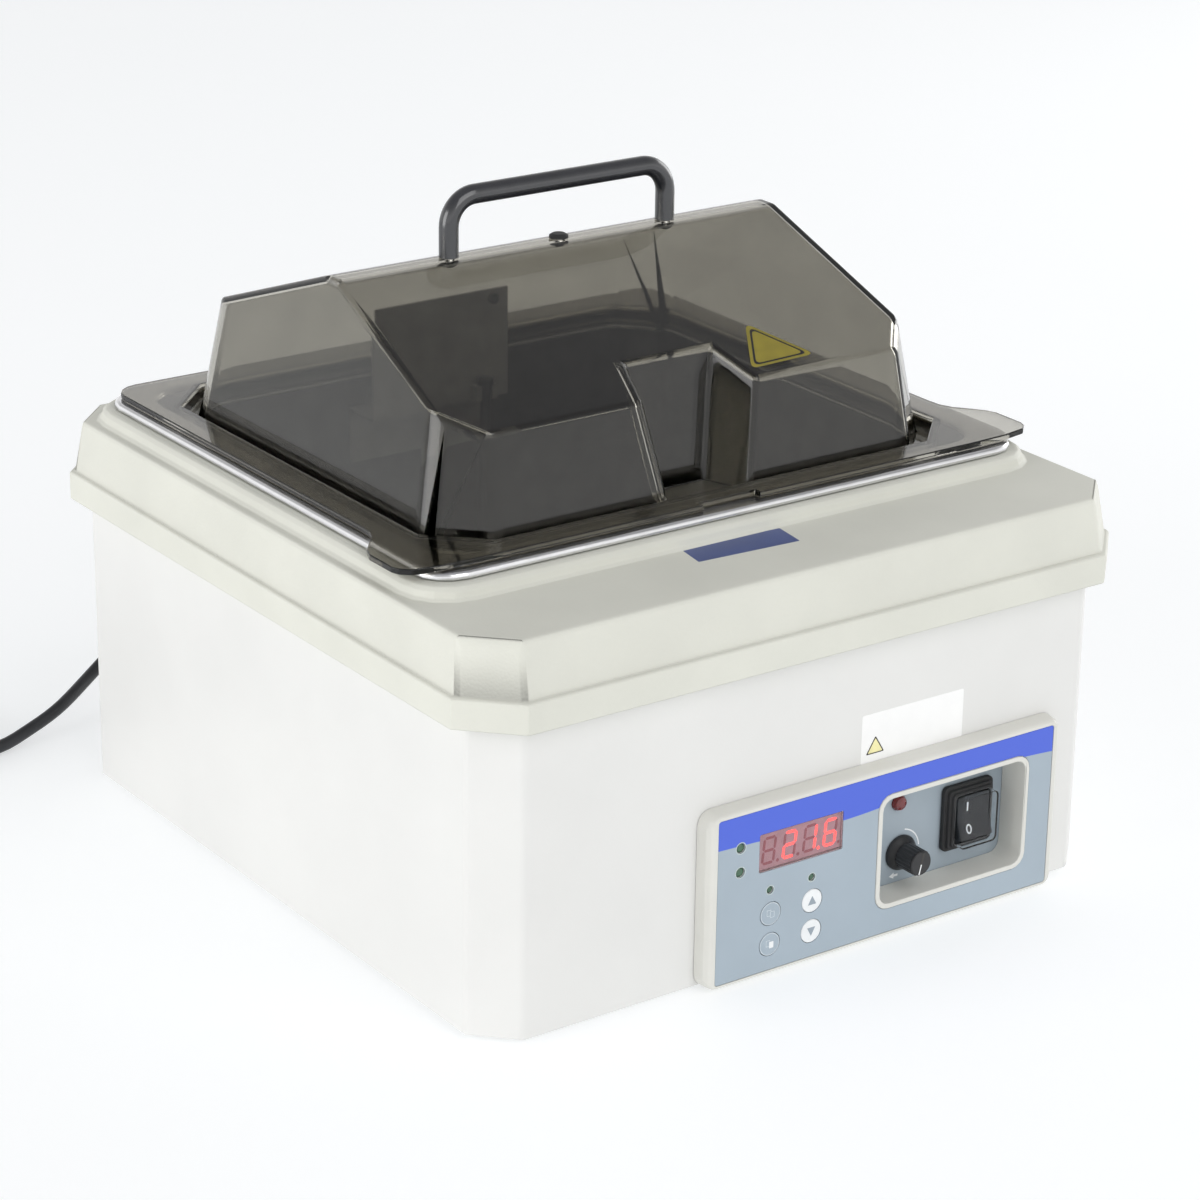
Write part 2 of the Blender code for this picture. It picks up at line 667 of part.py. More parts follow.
def build_tank_contents():
    y = OPEN_Y + DOME_HY - 12.2
    t = 1.5
    shelf = RIM_TOP - 29.2
    eye = shelf + 56
    mouth_back = OPEN_Y + MOUTH_HY - 1.0
    bracket = box((-36, 48), (y, y + t), (shelf, shelf + 61))
    bracket = join(bracket, box((-36, 48), (y, mouth_back), (shelf, shelf + t)))
    bracket = join(bracket, box((-36, 48), (mouth_back - t, mouth_back), (shelf - 30, shelf + t)))
    bracket = cut(bracket, turned([(2.0, y - 4), (2.0, y + 4)], 12, (38, eye), "Y"))
    for x in (25.0, 35.0):
        bracket = join(bracket, box((x - 1.6, x + 1.6), (y - 7, y + 0.5), (shelf + 1, shelf + 9)))
    add_node("probe_bracket", bracket, STEEL)
    screw = [(3.2, y - GAP - 1.8), (3.2, y - GAP), (1.7, y - GAP), (1.7, y + t + 1)]
    add_node("probe_screw", turned(screw, 12, (38, eye), "Y"), STEEL)
    low = TANK_FLOOR + 27
    seat = shelf + 9.3
    probe = [(1.6, low), (3.0, low + 2), (3.0, seat), (4.6, seat), (4.6, seat + 3.7), (2.6, seat + 4.7)]
    add_node("probe_tube", turned(probe, 12, (30, y - 5.1)), STEEL)
    top = TANK_FLOOR + 20
    tray = box((-141, 141), (-100, 118), (top - 1.2, top))
    for side in (-1, 1):
        x0, x1 = sorted((side * 141, side * 139.8))
        tray = join(tray, box((x0, x1), (-100, 118), (TANK_FLOOR + GAP, top)))
    for i in range(6):
        for j in range(5):
            x = -112.5 + 45 * i
            hole_y = -79 + 43 * j
            tray = cut(tray, turned([(8, top - 5), (8, top + 5)], 8, (x, hole_y)))
    add_node("diffuser_tray", tray, STEEL)


# ------------------------------------------------------------------ control panel


def spot_hole(bm, x, z, radius, y_span, segments=12):
    return cut(bm, turned([(radius, y_span[0]), (radius, y_span[1])], segments, (x, z), "Y"))


def grown(span, by):
    return (span[0] - by, span[1] + by)


def build_bezel():
    back = -CASE_HY - GAP
    seat = PANEL_Y + 1.0
    low, high = PANEL_Z
    rings = [
        upright_ring(rect(grown(PANEL_X, 4.2), (low - 0.8, high + 2.2), PANEL_CORNER + 4.0), back),
        upright_ring(
            rect(grown(PANEL_X, 3.2), (low - 0.8, high + 1.6), PANEL_CORNER + 3.2), PANEL_Y + 3.0
        ),
        upright_ring(
            rect(grown(PANEL_X, 1.6), (low - 0.4, high + 0.8), PANEL_CORNER + 1.6), PANEL_Y + 0.8
        ),
        upright_ring(rect(grown(PANEL_X, 0.2), (low + 0.3, high), PANEL_CORNER), PANEL_Y),
    ]
    recess = rect(
        grown(OVERLAY_X, OVERLAY_FIT), grown(OVERLAY_Z, OVERLAY_FIT), OVERLAY_CORNER + OVERLAY_FIT
    )
    solid = cut(loft(rings), plate(recess, (PANEL_Y - 2, seat)))
    hollow = rect(grown(PANEL_X, -PANEL_WALL), grown(PANEL_Z, -PANEL_WALL), PANEL_CORNER)
    solid = cut(solid, plate(hollow, (seat + 2.8, back + 2)))
    pocket_out = rect(POCKET_X, POCKET_Z, 8)
    solid = join(solid, plate(pocket_out, (PANEL_Y - 0.3, POCKET_BACK - GAP)))
    inner_x = grown(POCKET_X, -POCKET_WALL)
    inner_z = grown(POCKET_Z, -POCKET_WALL)
    solid = cut(solid, plate(rect(inner_x, inner_z, 6), (PANEL_Y - 3, POCKET_BACK + 3)))
    through = (PANEL_Y - 3, seat + 5)
    solid = cut(solid, plate(rect(grown(DISPLAY_X, 0.4), grown(DISPLAY_Z, 0.4), 0.6, 2), through))
    for x, z in KEY_SPOTS.values():
        solid = spot_hole(solid, x, z, KEY_R + 0.35, through, 20)
    for x, z, radius in LED_SPOTS.values():
        solid = spot_hole(solid, x, z, radius + 0.3, through)
    for x, z in ((-56, 82), (-56, 14), (22, 82), (22, 14)):
        solid = join(solid, turned([(2.6, seat + 2.5), (2.6, BOARD_Y - GAP)], 10, (x, z), "Y"))
    add_node("panel_bezel", solid, CASE_PAINT)


def build_overlay():
    front = PANEL_Y + 1.0 - GAP - OVERLAY_T
    sheet = plate(rect(OVERLAY_X, OVERLAY_Z, OVERLAY_CORNER), (front, front + OVERLAY_T))
    through = (front - 2, front + 3)
    sheet = cut(sheet, plate(rect(grown(POCKET_X, 0.3), grown(POCKET_Z, 0.3), 8.3), through))
    sheet = cut(sheet, plate(rect(grown(DISPLAY_X, 0.3), grown(DISPLAY_Z, 0.3), 0.6, 2), through))
    for x, z in KEY_SPOTS.values():
        sheet = spot_hole(sheet, x, z, KEY_R + 0.3, through, 20)
    for x, z, radius in LED_SPOTS.values():
        sheet = spot_hole(sheet, x, z, radius + 0.3, through)
    add_node("panel_overlay", sheet, OVERLAY_GREY)


def build_display():
    front = PANEL_Y + 0.5
    window = plate(rect(DISPLAY_X, DISPLAY_Z, 0.5, 2), (front, front + 1.4))
    add_node("display_filter", window, RED_FILTER)
    body = plate(rect(grown(DISPLAY_X, -0.1), grown(DISPLAY_Z, -0.3), 0.3, 2), (front + 1.7, BOARD_Y - GAP))
    add_node("display_module", body, WHITE_PLASTIC)
    board = plate(rect((-62, 27), (7, 87), 2, 2), (BOARD_Y, BOARD_Y + 1.6))
    for x, z in KEY_SPOTS.values():
        board = join(board, box((x - 3, x + 3), (BOARD_Y - 3.6, BOARD_Y + 0.5), (z - 3, z + 3)))
    for x, z, _ in LED_SPOTS.values():
        board = join(board, box((x - 1.8, x + 1.8), (BOARD_Y - 2.6, BOARD_Y + 0.5), (z - 1.8, z + 1.8)))
    board = join(board, box((-40, -24), (BOARD_Y + 1.2, BOARD_Y + 9.8), (30, 42)))
    board = join(board, box((-8, 14), (BOARD_Y + 1.2, BOARD_Y + 13.8), (20, 30)))
    add_node("control_board", board, BOARD_GREEN)
    for name, (x, z, radius) in LED_SPOTS.items():
        profile = [(radius, BOARD_Y - 2.9), (radius, front + 0.5), (radius * 0.6, front)]
        add_node(name, turned(profile, 12, (x, z), "Y"), ((0.25, 0.38, 0.28), 0.3))
    for name, (x, z) in KEY_SPOTS.items():
        face = PANEL_Y + 0.05
        lip = PANEL_Y + 1.0 + 2.8 + GAP
        profile = [
            (1.8, BOARD_Y - 4.3),
            (1.8, lip + 0.9),
            (KEY_R + 1.0, lip + 0.9),
            (KEY_R + 1.0, lip),
            (KEY_R, lip),
            (KEY_R, face + 0.3),
            (KEY_R - 0.4, face),
        ]
        add_node(name, turned(profile, 20, (x, z), "Y"), WHITE_PLASTIC, (x, face, z))


def build_pocket():
    back = POCKET_BACK
    wall = plate(rect(POCKET_X, POCKET_Z, 8), (back, back + 1.5))
    through = (back - 2, back + 4)
    wall = spot_hole(wall, KNOB_X, KNOB_Z, 5.0, through)
    wall = spot_hole(wall, SAFETY_X, SAFETY_Z, SAFETY_R + 0.3, through)
    wall = cut(wall, around_switch(BOOT_HX, BOOT_HZ + 1.1, 1, through, 2))
    add_node("pocket_plate", wall, OVERLAY_GREY)
    lens = [
        (SAFETY_R, back + 6),
        (SAFETY_R, back - 1.2),
        (SAFETY_R - 0.8, back - 2.6),
        (SAFETY_R - 2.3, back - 3.3),
    ]
    add_node("led_safety", turned(lens, 16, (SAFETY_X, SAFETY_Z), "Y"), ((0.35, 0.02, 0.03), 0.15))


def build_limit_control():
    back = POCKET_BACK + 1.5 + GAP
    axis = (KNOB_X, KNOB_Z)
    shell = [(15.5, back), (16.5, back + 1), (16.5, back + 16), (10, back + 20)]
    body = turned(shell, 20, axis, "Y")
    neck = turned([(4.6, back + 1), (4.6, POCKET_BACK - 2.2)], 16, axis, "Y")
    body = join(body, neck)
    body = spot_hole(body, KNOB_X, KNOB_Z, 3.3, (POCKET_BACK - 5, back + 8), 16)
    add_node("limit_thermostat", body, LAMINATE)
    nut = plate(circle(6.6, 6, KNOB_X, KNOB_Z), (POCKET_BACK - GAP - 1.8, POCKET_BACK - GAP))
    nut = spot_hole(nut, KNOB_X, KNOB_Z, 4.9, (POCKET_BACK - 6, POCKET_BACK + 3), 16)
    add_node("limit_nut", nut, ZINC)
    shaft = turned([(3.0, back + 7.6), (3.0, KNOB_FRONT + 3.0)], 16, axis, "Y")
    add_node("limit_shaft", shaft, ZINC, (KNOB_X, KNOB_FRONT, KNOB_Z))
    rear = POCKET_BACK - GAP
    points = []
    for i in range(40):
        angle = 2 * math.pi * i / 40
        radius = KNOB_R - (0.45 if i % 2 else 0.0)
        points.append((KNOB_X + radius * math.cos(angle), KNOB_Z + radius * math.sin(angle)))
    knob = plate(points, (rear - 2, KNOB_FRONT + 0.6))
    face_r = KNOB_R - 0.5
    cap = [(face_r, rear - 4), (face_r, KNOB_FRONT + 0.3), (face_r - 0.6, KNOB_FRONT)]
    knob = join(knob, turned(cap, 20, axis, "Y"))
    skirt = [(KNOB_SKIRT_R, rear), (KNOB_SKIRT_R, rear - 1.4), (KNOB_R + 0.6, rear - 3.4)]
    knob = join(knob, turned(skirt, 24, axis, "Y"))
    knob = spot_hole(knob, KNOB_X, KNOB_Z, 7.2, (rear + 2, rear - 2.6), 20)
    knob = spot_hole(knob, KNOB_X, KNOB_Z, 3.3, (rear + 2, KNOB_FRONT + 2.4), 16)
    add_node("knob", knob, BLACK_MATT, (KNOB_X, KNOB_FRONT, KNOB_Z))
    bulb = [(1.2, -44), (3.0, -41), (3.0, 41), (1.2, 44)]
    bulb_z = TANK_FLOOR - TANK_T - GAP - 3.0
    add_node("limit_bulb", turned(bulb, 10, (-94, bulb_z), "X"), BRASS)
    route = [(44.4, -94, bulb_z), (56, -98, bulb_z - 3), (62, -125, 45), (KNOB_X, -150, KNOB_Z)]
    route.append((KNOB_X, back + 20.4, KNOB_Z))
    tube("limit_capillary", smooth_path(route, 6), 1.0, BRASS, 1)


def around_switch(half_x, half_z, corner, y_span, points=5):
    """A rounded block centred on the power switch."""
    x_span = (SWITCH_X - half_x, SWITCH_X + half_x)
    z_span = (SWITCH_Z - half_z, SWITCH_Z + half_z)
    return plate(rect(x_span, z_span, corner, points), y_span)


def build_switch():
    back = POCKET_BACK
    frame = around_switch(BOOT_HX + 3.9, BOOT_HZ + 3.7, 3, (back - GAP, back - 3))
    frame = join(frame, around_switch(BOOT_HX + 2.2, BOOT_HZ + 2.1, 2.4, (back - 2.5, back - 5.0)))
    frame = join(frame, around_switch(BOOT_HX + 0.9, BOOT_HZ + 0.9, 2.4, (back - 4.8, back - 6.6)))
    frame = cut(frame, around_switch(BOOT_HX - 1.1, BOOT_HZ - 1.0, 1.2, (back + 2, back - 9)))
    add_node("switch_surround", frame, RUBBER)
    seat = back - 6.6 - GAP
    face = seat - 5.1
    shell = around_switch(BOOT_HX, BOOT_HZ, 3, (seat, face))
    room = around_switch(BOOT_HX - 0.7, BOOT_HZ - 0.7, 2.3, (seat + 2, face + 0.7))
    add_node("switch_boot", cut(shell, room), ((0.5, 0.5, 0.5), 0.08, 0.0, 0.25))
    body = around_switch(BOOT_HX + 1.5, BOOT_HZ + 2.6, 0.5, (back + 1.8, back + 20))
    for x in (-6, 6):
        for z in (-9, 0, 9):
            x_span = (SWITCH_X + x - 0.5, SWITCH_X + x + 0.5)
            z_span = (SWITCH_Z + z - 3, SWITCH_Z + z + 3)
            body = join(body, box(x_span, (back + 19, back + 28), z_span))
    add_node("switch_body", body, BLACK_MATT)
    end = BOOT_HZ - 2.5
    profile = [(-end, -4.2), (-end, -8.0), (0.0, -6.2), (end, -8.0), (end, -4.2)]
    profile += [(6.0, 0.6), (-6.0, 0.6)]
    turn = Matrix.Rotation(math.radians(-ROCKER_REST), 4, "X")
    rocker = loft([[(x, y, z) for z, y in profile] for x in (-BOOT_HX + 1.8, BOOT_HX - 1.8)])
    pivot = (SWITCH_X, ROCKER_PIVOT_Y, SWITCH_Z)
    bmesh.ops.transform(rocker, matrix=Matrix.Translation(pivot) @ turn, verts=rocker.verts)
    add_node("rocker", rocker, BLACK_GLOSS, pivot)


# ------------------------------------------------------------------ electrics


def build_electrics():
    floor = CASE_Z0 + CASE_T + GAP + 1.5 + GAP
    board = box((-158, -66), (-182, -130), (floor + 6, floor + 7.6))
    for x in (-154, -70):
        for y in (-178, -134):
            board = join(board, turned([(2.5, floor), (2.5, floor + 6.5)], 8, (x, y)))
    board = join(board, box((-150, -128), (-172, -150), (floor + 7, floor + 24)))
    board = join(board, turned([(6, floor + 7), (6, floor + 28)], 12, (-112, -165)))
    board = join(board, box((-100, -84), (-172, -158), (floor + 7, floor + 18)))
    add_node("power_board", board, BOARD_GREEN)
    sink = box((-56, -10), (-176, -172), (floor, floor + 50))
    for i in range(5):
        x = -56 + 10.5 * i
        sink = join(sink, box((x, x + 2.4), (-173, -148), (floor, floor + 50)))
    add_node("heatsink", sink, ((0.7, 0.7, 0.72), 0.4, 1.0))
    core = box((96, 146), (-150, -118), (floor, floor + 42))
    core = join(core, box((104, 138), (-158, -110), (floor + 8, floor + 34)))
    add_node("transformer", core, LAMINATE)
    block = box((-140, -104), (150, 168), (floor, floor + 16))
    for i in range(3):
        x = -134 + 12 * i
        block = cut(block, box((x - 3.5, x + 3.5), (156, 172), (floor + 8, floor + 20)))
    add_node("terminal_block", block, WHITE_PLASTIC)
    route = [(-116, 149, floor + 5), (-116, 118, floor + 4), (-128, 60, floor + 3), (-128, -60, floor + 3)]
    route += [(-120, -110, floor + 5), (-112, -128.2, floor + 7)]
    tube("wire_harness", smooth_path(route, 12), 2.4, BLACK_MATT, 1)


def on_coil(radius, angle, ahead, z):
    """A point ahead of the tangent point at that angle, for turns that run clockwise seen from above."""
    x = COIL_X + radius * math.cos(angle) + ahead * math.sin(angle)
    y = COIL_Y + radius * math.sin(angle) - ahead * math.cos(angle)
    return (x, y, z)


def coil_reach():
    """Outer radius of the coil, and how far before its tangent point a straight end first meets it."""
    outer = COIL_MID + COIL_TURNS[0] * CORD_R + 0.2
    inside = COIL_MID + CORD_R / 2 - CORD_R
    return outer, math.sqrt(outer**2 - (inside + CORD_R / 2) ** 2)


def cord_route():
    """From the strain relief, down behind the case and along the floor to the coil."""
    turn = COIL_MID + CORD_R
    meet = coil_reach()[1] + GAP
    return [
        (INLET_X, CASE_HY + RELIEF_LEN + GAP, INLET_Z),
        (INLET_X - 0.5, 240, INLET_Z - 0.5),
        (INLET_X - 7, 257, INLET_Z - 6),
        (INLET_X - 22, 267, 40),
        (-144, 266, 23.5),
        (-175.8, 250, 13),
        (-200, 242.5, 6.9),
        (-219.7, 237, CORD_LOW + 0.5),
        on_coil(turn, COIL_IN, -meet, CORD_LOW),
    ]


def build_cord():
    y = CASE_HY
    profile = [
        (5.0, y - 9),
        (9.0, y - 8),
        (9.0, y - CASE_T - GAP),
        (6.6, y - CASE_T - GAP),
        (6.6, y + GAP),
        (9.5, y + GAP),
        (9.5, y + 4),
        (7.6, y + 5),
        (4.6, y + RELIEF_LEN),
        (3.0, y + RELIEF_LEN),
    ]
    add_node("strain_relief", turned(profile, 16, (INLET_X, INLET_Z), "Y"), RUBBER)
    tube("power_cord", smooth_path(cord_route(), 2.3 * CORD_D), CORD_R, RUBBER, 2)


def build_coil():
    half = COIL_TURNS[0] * CORD_R + 0.2
    tall = COIL_TURNS[1] * CORD_R + 0.1
    section = outline(half, tall, CORD_R * 0.8, 2, False, COIL_MID, tall + 0.05)
    rings = []
    for i in range(40):
        angle = 2 * math.pi * i / 40
        rings.append([on_coil(radius, angle, 0, z) for radius, z in section])
    add_node("cord_coil", loft(rings, closed=True), RUBBER)


def plug_piece(bm):
    """Turns a shape drawn along -Y from the cord's end into place beside the coil."""
    x, y, z = on_coil(COIL_MID + CORD_R, COIL_OUT, coil_reach()[1] + 6 * GAP, PLUG_Z)
    heading = math.atan2(-math.cos(COIL_OUT), math.sin(COIL_OUT))
    place = Matrix.Translation((x, y, z)) @ Matrix.Rotation(heading + math.pi / 2, 4, "Z")
    bmesh.ops.transform(bm, matrix=place, verts=bm.verts)
    return bm


def build_plug():
    sizes = ((0, 4.4, 4.4), (-24, 6.4, 6.2), (-33, 12.0, 11.6), (-52, 12.9, 12.5), (-54, 12.2, 11.8))
    rows = []
    for y, hx, hz in sizes:
        rows.append(upright_ring(outline(hx, hz, hx * 0.75, 4, True), y))
    body = loft(rows)
    for x in (-6.35, 6.35):
        body = cut(body, box((x - 1.05, x + 1.05), (-60, -48), (-9.4, -2.4)))
    body = spot_hole(body, 0, 6.0, 2.7, (-60, -48), 12)
    add_node("plug_body", plug_piece(body), RUBBER)
    for name, x in (("plug_blade_left", -6.35), ("plug_blade_right", 6.35)):
        blade = box((x - 0.75, x + 0.75), (-70, -48.3), (-9.1, -2.7))
        add_node(name, plug_piece(blade), BRASS)
    pin = turned([(2.4, -48.3), (2.4, -72.5), (1.4, -74.5)], 12, (0, 6.0), "Y")
    add_node("plug_ground_pin", plug_piece(pin), BRASS)


def main():
    clear_scene()
    build_lower_case()
    build_base_plate()
    build_top_cover()
    build_tank()
    build_heater()
    build_lid()
    build_lid_fittings()
    build_tank_contents()
    build_bezel()
    build_overlay()
    build_display()
    build_pocket()
    build_limit_control()
    build_switch()
    build_electrics()
    build_cord()
    build_coil()
    build_plug()


main()
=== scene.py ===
"""Looks of the heated water bath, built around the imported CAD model.

Lengths are in millimetres until a mesh is made.
"""

import math

import bmesh
import bpy
from mathutils import Matrix, Vector


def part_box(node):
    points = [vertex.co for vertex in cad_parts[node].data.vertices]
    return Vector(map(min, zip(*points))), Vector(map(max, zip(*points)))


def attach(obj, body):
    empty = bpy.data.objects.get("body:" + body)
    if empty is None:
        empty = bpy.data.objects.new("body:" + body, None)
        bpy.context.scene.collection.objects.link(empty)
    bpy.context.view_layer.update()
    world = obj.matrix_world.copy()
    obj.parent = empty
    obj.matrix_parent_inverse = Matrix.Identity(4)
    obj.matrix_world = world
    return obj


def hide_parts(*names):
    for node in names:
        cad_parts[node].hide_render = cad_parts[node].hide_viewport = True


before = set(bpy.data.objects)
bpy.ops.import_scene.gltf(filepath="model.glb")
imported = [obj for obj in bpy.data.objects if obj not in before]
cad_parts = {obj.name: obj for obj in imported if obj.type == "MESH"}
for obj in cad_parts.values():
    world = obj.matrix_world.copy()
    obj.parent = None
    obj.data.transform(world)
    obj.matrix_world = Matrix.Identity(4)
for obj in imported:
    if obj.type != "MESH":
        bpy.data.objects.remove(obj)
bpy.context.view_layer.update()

MM = 0.001
SKIN = 0.06  # thickness of print and film

# Lid
LID_CORNER = 6.5
LID_ROUND = 2.1
LID_EDGE = 0.6
DOME_BASE_Z = 222
DOME_SHOULDER_Z = 262
RIDGE_HOLES_Z = 300
HANDLE_R = 5.1
HANDLE_BEND = 15.0
STICKER_LIFT = 0.12

# Deck and panel
DECK_Z = 203.4
# Below this height the tank's steel is darkened as painted shade; above it the rim's edges are rounded.
INNER_STEEL_Z = 208.0
COVER_UNDERSIDE = 176.3
CASE_ROUND = 2.4
COVER_EDGE = 0.5
STEEL_ROUND = 0.45
PANEL_ROUND = 0.5
PANEL_FRONT_Y = -203.0
RUBBER_ROUND = 0.55
BOOT_ROUND = 0.3
DIGIT_PITCH = 12.4
DIGIT_W = 6.6
DIGIT_H = 13.0
DIGIT_BAR = 1.45
DIGIT_LEAN = 0.10
DIGIT_DEPTH = 0.1
LIT_BARS = ((), (0, 1, 3, 4, 6), (1, 2), (0, 2, 3, 4, 5, 6))
LIT_DOT = 2
KNOB_R = 6.8
KNOB_SKIRT_R = 9.4
KNOB_RIBS = 20
POINTER_ANGLE = -104.0
ROCKER_REST = 9.0
ROCKER_PIVOT = (-190.9, 46.5)

# Camera
CAMERA_SPOT = (-1008.2, -1431.3, 806.7)
CAMERA_AZIMUTH = math.radians(-35.512)
CAMERA_ELEVATION = math.radians(21.39)
CAMERA_ROLL = math.radians(0.829)
CAMERA_LENS = 108.75

# Cord, on the same route as its CAD solids
CORD_D = 7.0
CORD_R = CORD_D / 2
CORD_LOW = CORD_R + 0.1
COIL_SPOT = (-276.0, 268.0)
COIL_MID = 35.0
COIL_IN = math.radians(-75)
COIL_OUT = math.radians(153.5)
COIL_LOOPS = 7
COIL_CROSS = math.radians(52)  # part of a turn over which the cord crosses to its next place
COIL_SLOTS = ((1, 0), (-1, 0), (-1, 1), (-1, 2), (-1, 3), (1, 3), (1, 2), (1, 1))


# ------------------------------------------------------------------ helpers


def span(node):
    """Lowest and highest corner of a CAD node, in millimetres."""
    low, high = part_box(node)
    return low / MM, high / MM


def fillet(corners, soft, points=5):
    """A closed outline whose corners are rounded over a distance soft along each side."""
    result = []
    for i, corner in enumerate(corners):
        here = Vector(corner)
        before = Vector(corners[i - 1])
        after = Vector(corners[(i + 1) % len(corners)])
        start = here + (before - here).normalized() * soft
        end = here + (after - here).normalized() * soft
        for step in range(points):
            t = step / (points - 1)
            result.append(tuple(start.lerp(here, t).lerp(here.lerp(end, t), t)))
    return result


def rect(x_span, y_span, soft, points=6):
    (x0, x1), (y0, y1) = x_span, y_span
    return fillet([(x0, y0), (x1, y0), (x1, y1), (x0, y1)], soft, points)


def circle(radius, segments, cx=0.0, cy=0.0):
    step = 2 * math.pi / segments
    return [(cx + radius * math.cos(step * i), cy + radius * math.sin(step * i)) for i in range(segments)]


def loft(rings, closed=False):
    bm = bmesh.new()
    rows = [[bm.verts.new(point) for point in ring] for ring in rings]
    count = len(rows[0])
    pairs = list(zip(rows, rows[1:]))
    if closed:
        pairs.append((rows[-1], rows[0]))
    for lower, upper in pairs:
        for i in range(count):
            j = (i + 1) % count
            bm.faces.new((lower[i], lower[j], upper[j], upper[i]))
    if not closed:
        bm.faces.new(rows[0])
        bm.faces.new(list(reversed(rows[-1])))
    bmesh.ops.recalc_face_normals(bm, faces=bm.faces)
    return bm


def upright(points, y):
    return [(x, y, z) for x, z in points]


def plate(points, y_span):
    """A flat piece standing in the plane of the front panel; points are x and z."""
    return loft([upright(points, y) for y in y_span])


def slab(points, z_span):
    return loft([[(x, y, z) for x, y in points] for z in z_span])


def turned_y(profile, segments, cx, cz):
    return loft([upright(circle(radius, segments, cx, cz), y) for radius, y in profile])


def merged(parts):
    """Several closed shapes as one mesh."""
    whole = bmesh.new()
    for bm in parts:
        mesh = bpy.data.meshes.new("part")
        bm.to_mesh(mesh)
        bm.free()
        whole.from_mesh(mesh)
        bpy.data.meshes.remove(mesh)
    return whole


def shade(mesh, angle=35):
    mesh.shade_smooth()
    mesh.set_sharp_from_angle(angle=math.radians(angle))


def round_edges(obj, widest):
    """Rounds the edges by the widths that soften marked, and keeps the flat faces flat."""
    bevel = obj.modifiers.new("round", "BEVEL")
    bevel.limit_method = "WEIGHT"
    bevel.width = widest * MM
    bevel.segments = 4
    bevel.use_clamp_overlap = False
    flatten = obj.modifiers.new("flatten", "WEIGHTED_NORMAL")
    flatten.mode = "FACE_AREA"
    flatten.weight = 60
    flatten.keep_sharp = True


def piece(name, bm, material, body, replaced=(), angle=35, widest=0.0):
    """A visible piece from a shape in millimetres, riding on a CAD body."""
    bmesh.ops.scale(bm, vec=(MM, MM, MM), verts=bm.verts)
    mesh = bpy.data.meshes.new(name)
    bm.to_mesh(mesh)
    bm.free()
    shade(mesh, angle)
    obj = bpy.data.objects.new(name, mesh)
    mesh.materials.append(material)
    bpy.context.scene.collection.objects.link(obj)
    if widest:
        round_edges(obj, widest)
    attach(obj, body)
    if replaced:
        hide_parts(*replaced)
    return obj


def from_cad(node):
    """The CAD node's shape with its triangles joined back into flat faces, in millimetres."""
    bm = bmesh.new()
    bm.from_mesh(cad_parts[node].data)
    bmesh.ops.scale(bm, vec=(1 / MM,) * 3, verts=bm.verts)
    bmesh.ops.remove_doubles(bm, verts=bm.verts, dist=0.002)
    bmesh.ops.recalc_face_normals(bm, faces=bm.faces)
    bmesh.ops.dissolve_limit(bm, angle_limit=math.radians(0.6), verts=bm.verts, edges=bm.edges)
    return bm


def soften(bm, rule, widest):
    """Marks the edges for which rule(middle, angle in degrees, length) gives a rounding width."""
    layer = bm.edges.layers.float.new("bevel_weight_edge")
    for edge in bm.edges:
        if len(edge.link_faces) == 2:
            centre = (edge.verts[0].co + edge.verts[1].co) / 2
            edge[layer] = rule(centre, math.degrees(edge.calc_face_angle(0.0)), edge.calc_length()) / widest
    return bm


def rounded(name, node, rule, widest, material, body="housing", angle=60):
    """A CAD node's shape with its edges rounded by the rule."""
    bm = soften(from_cad(node), rule, widest)
    return piece(name, bm, material, body, [node], angle, widest)


def repaint(node, material, angle=35):
    """A CAD node whose shape is right, with its finished material."""
    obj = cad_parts[node]
    obj.data.materials.clear()
    obj.data.materials.append(material)
    shade(obj.data, angle)


# ------------------------------------------------------------------ materials


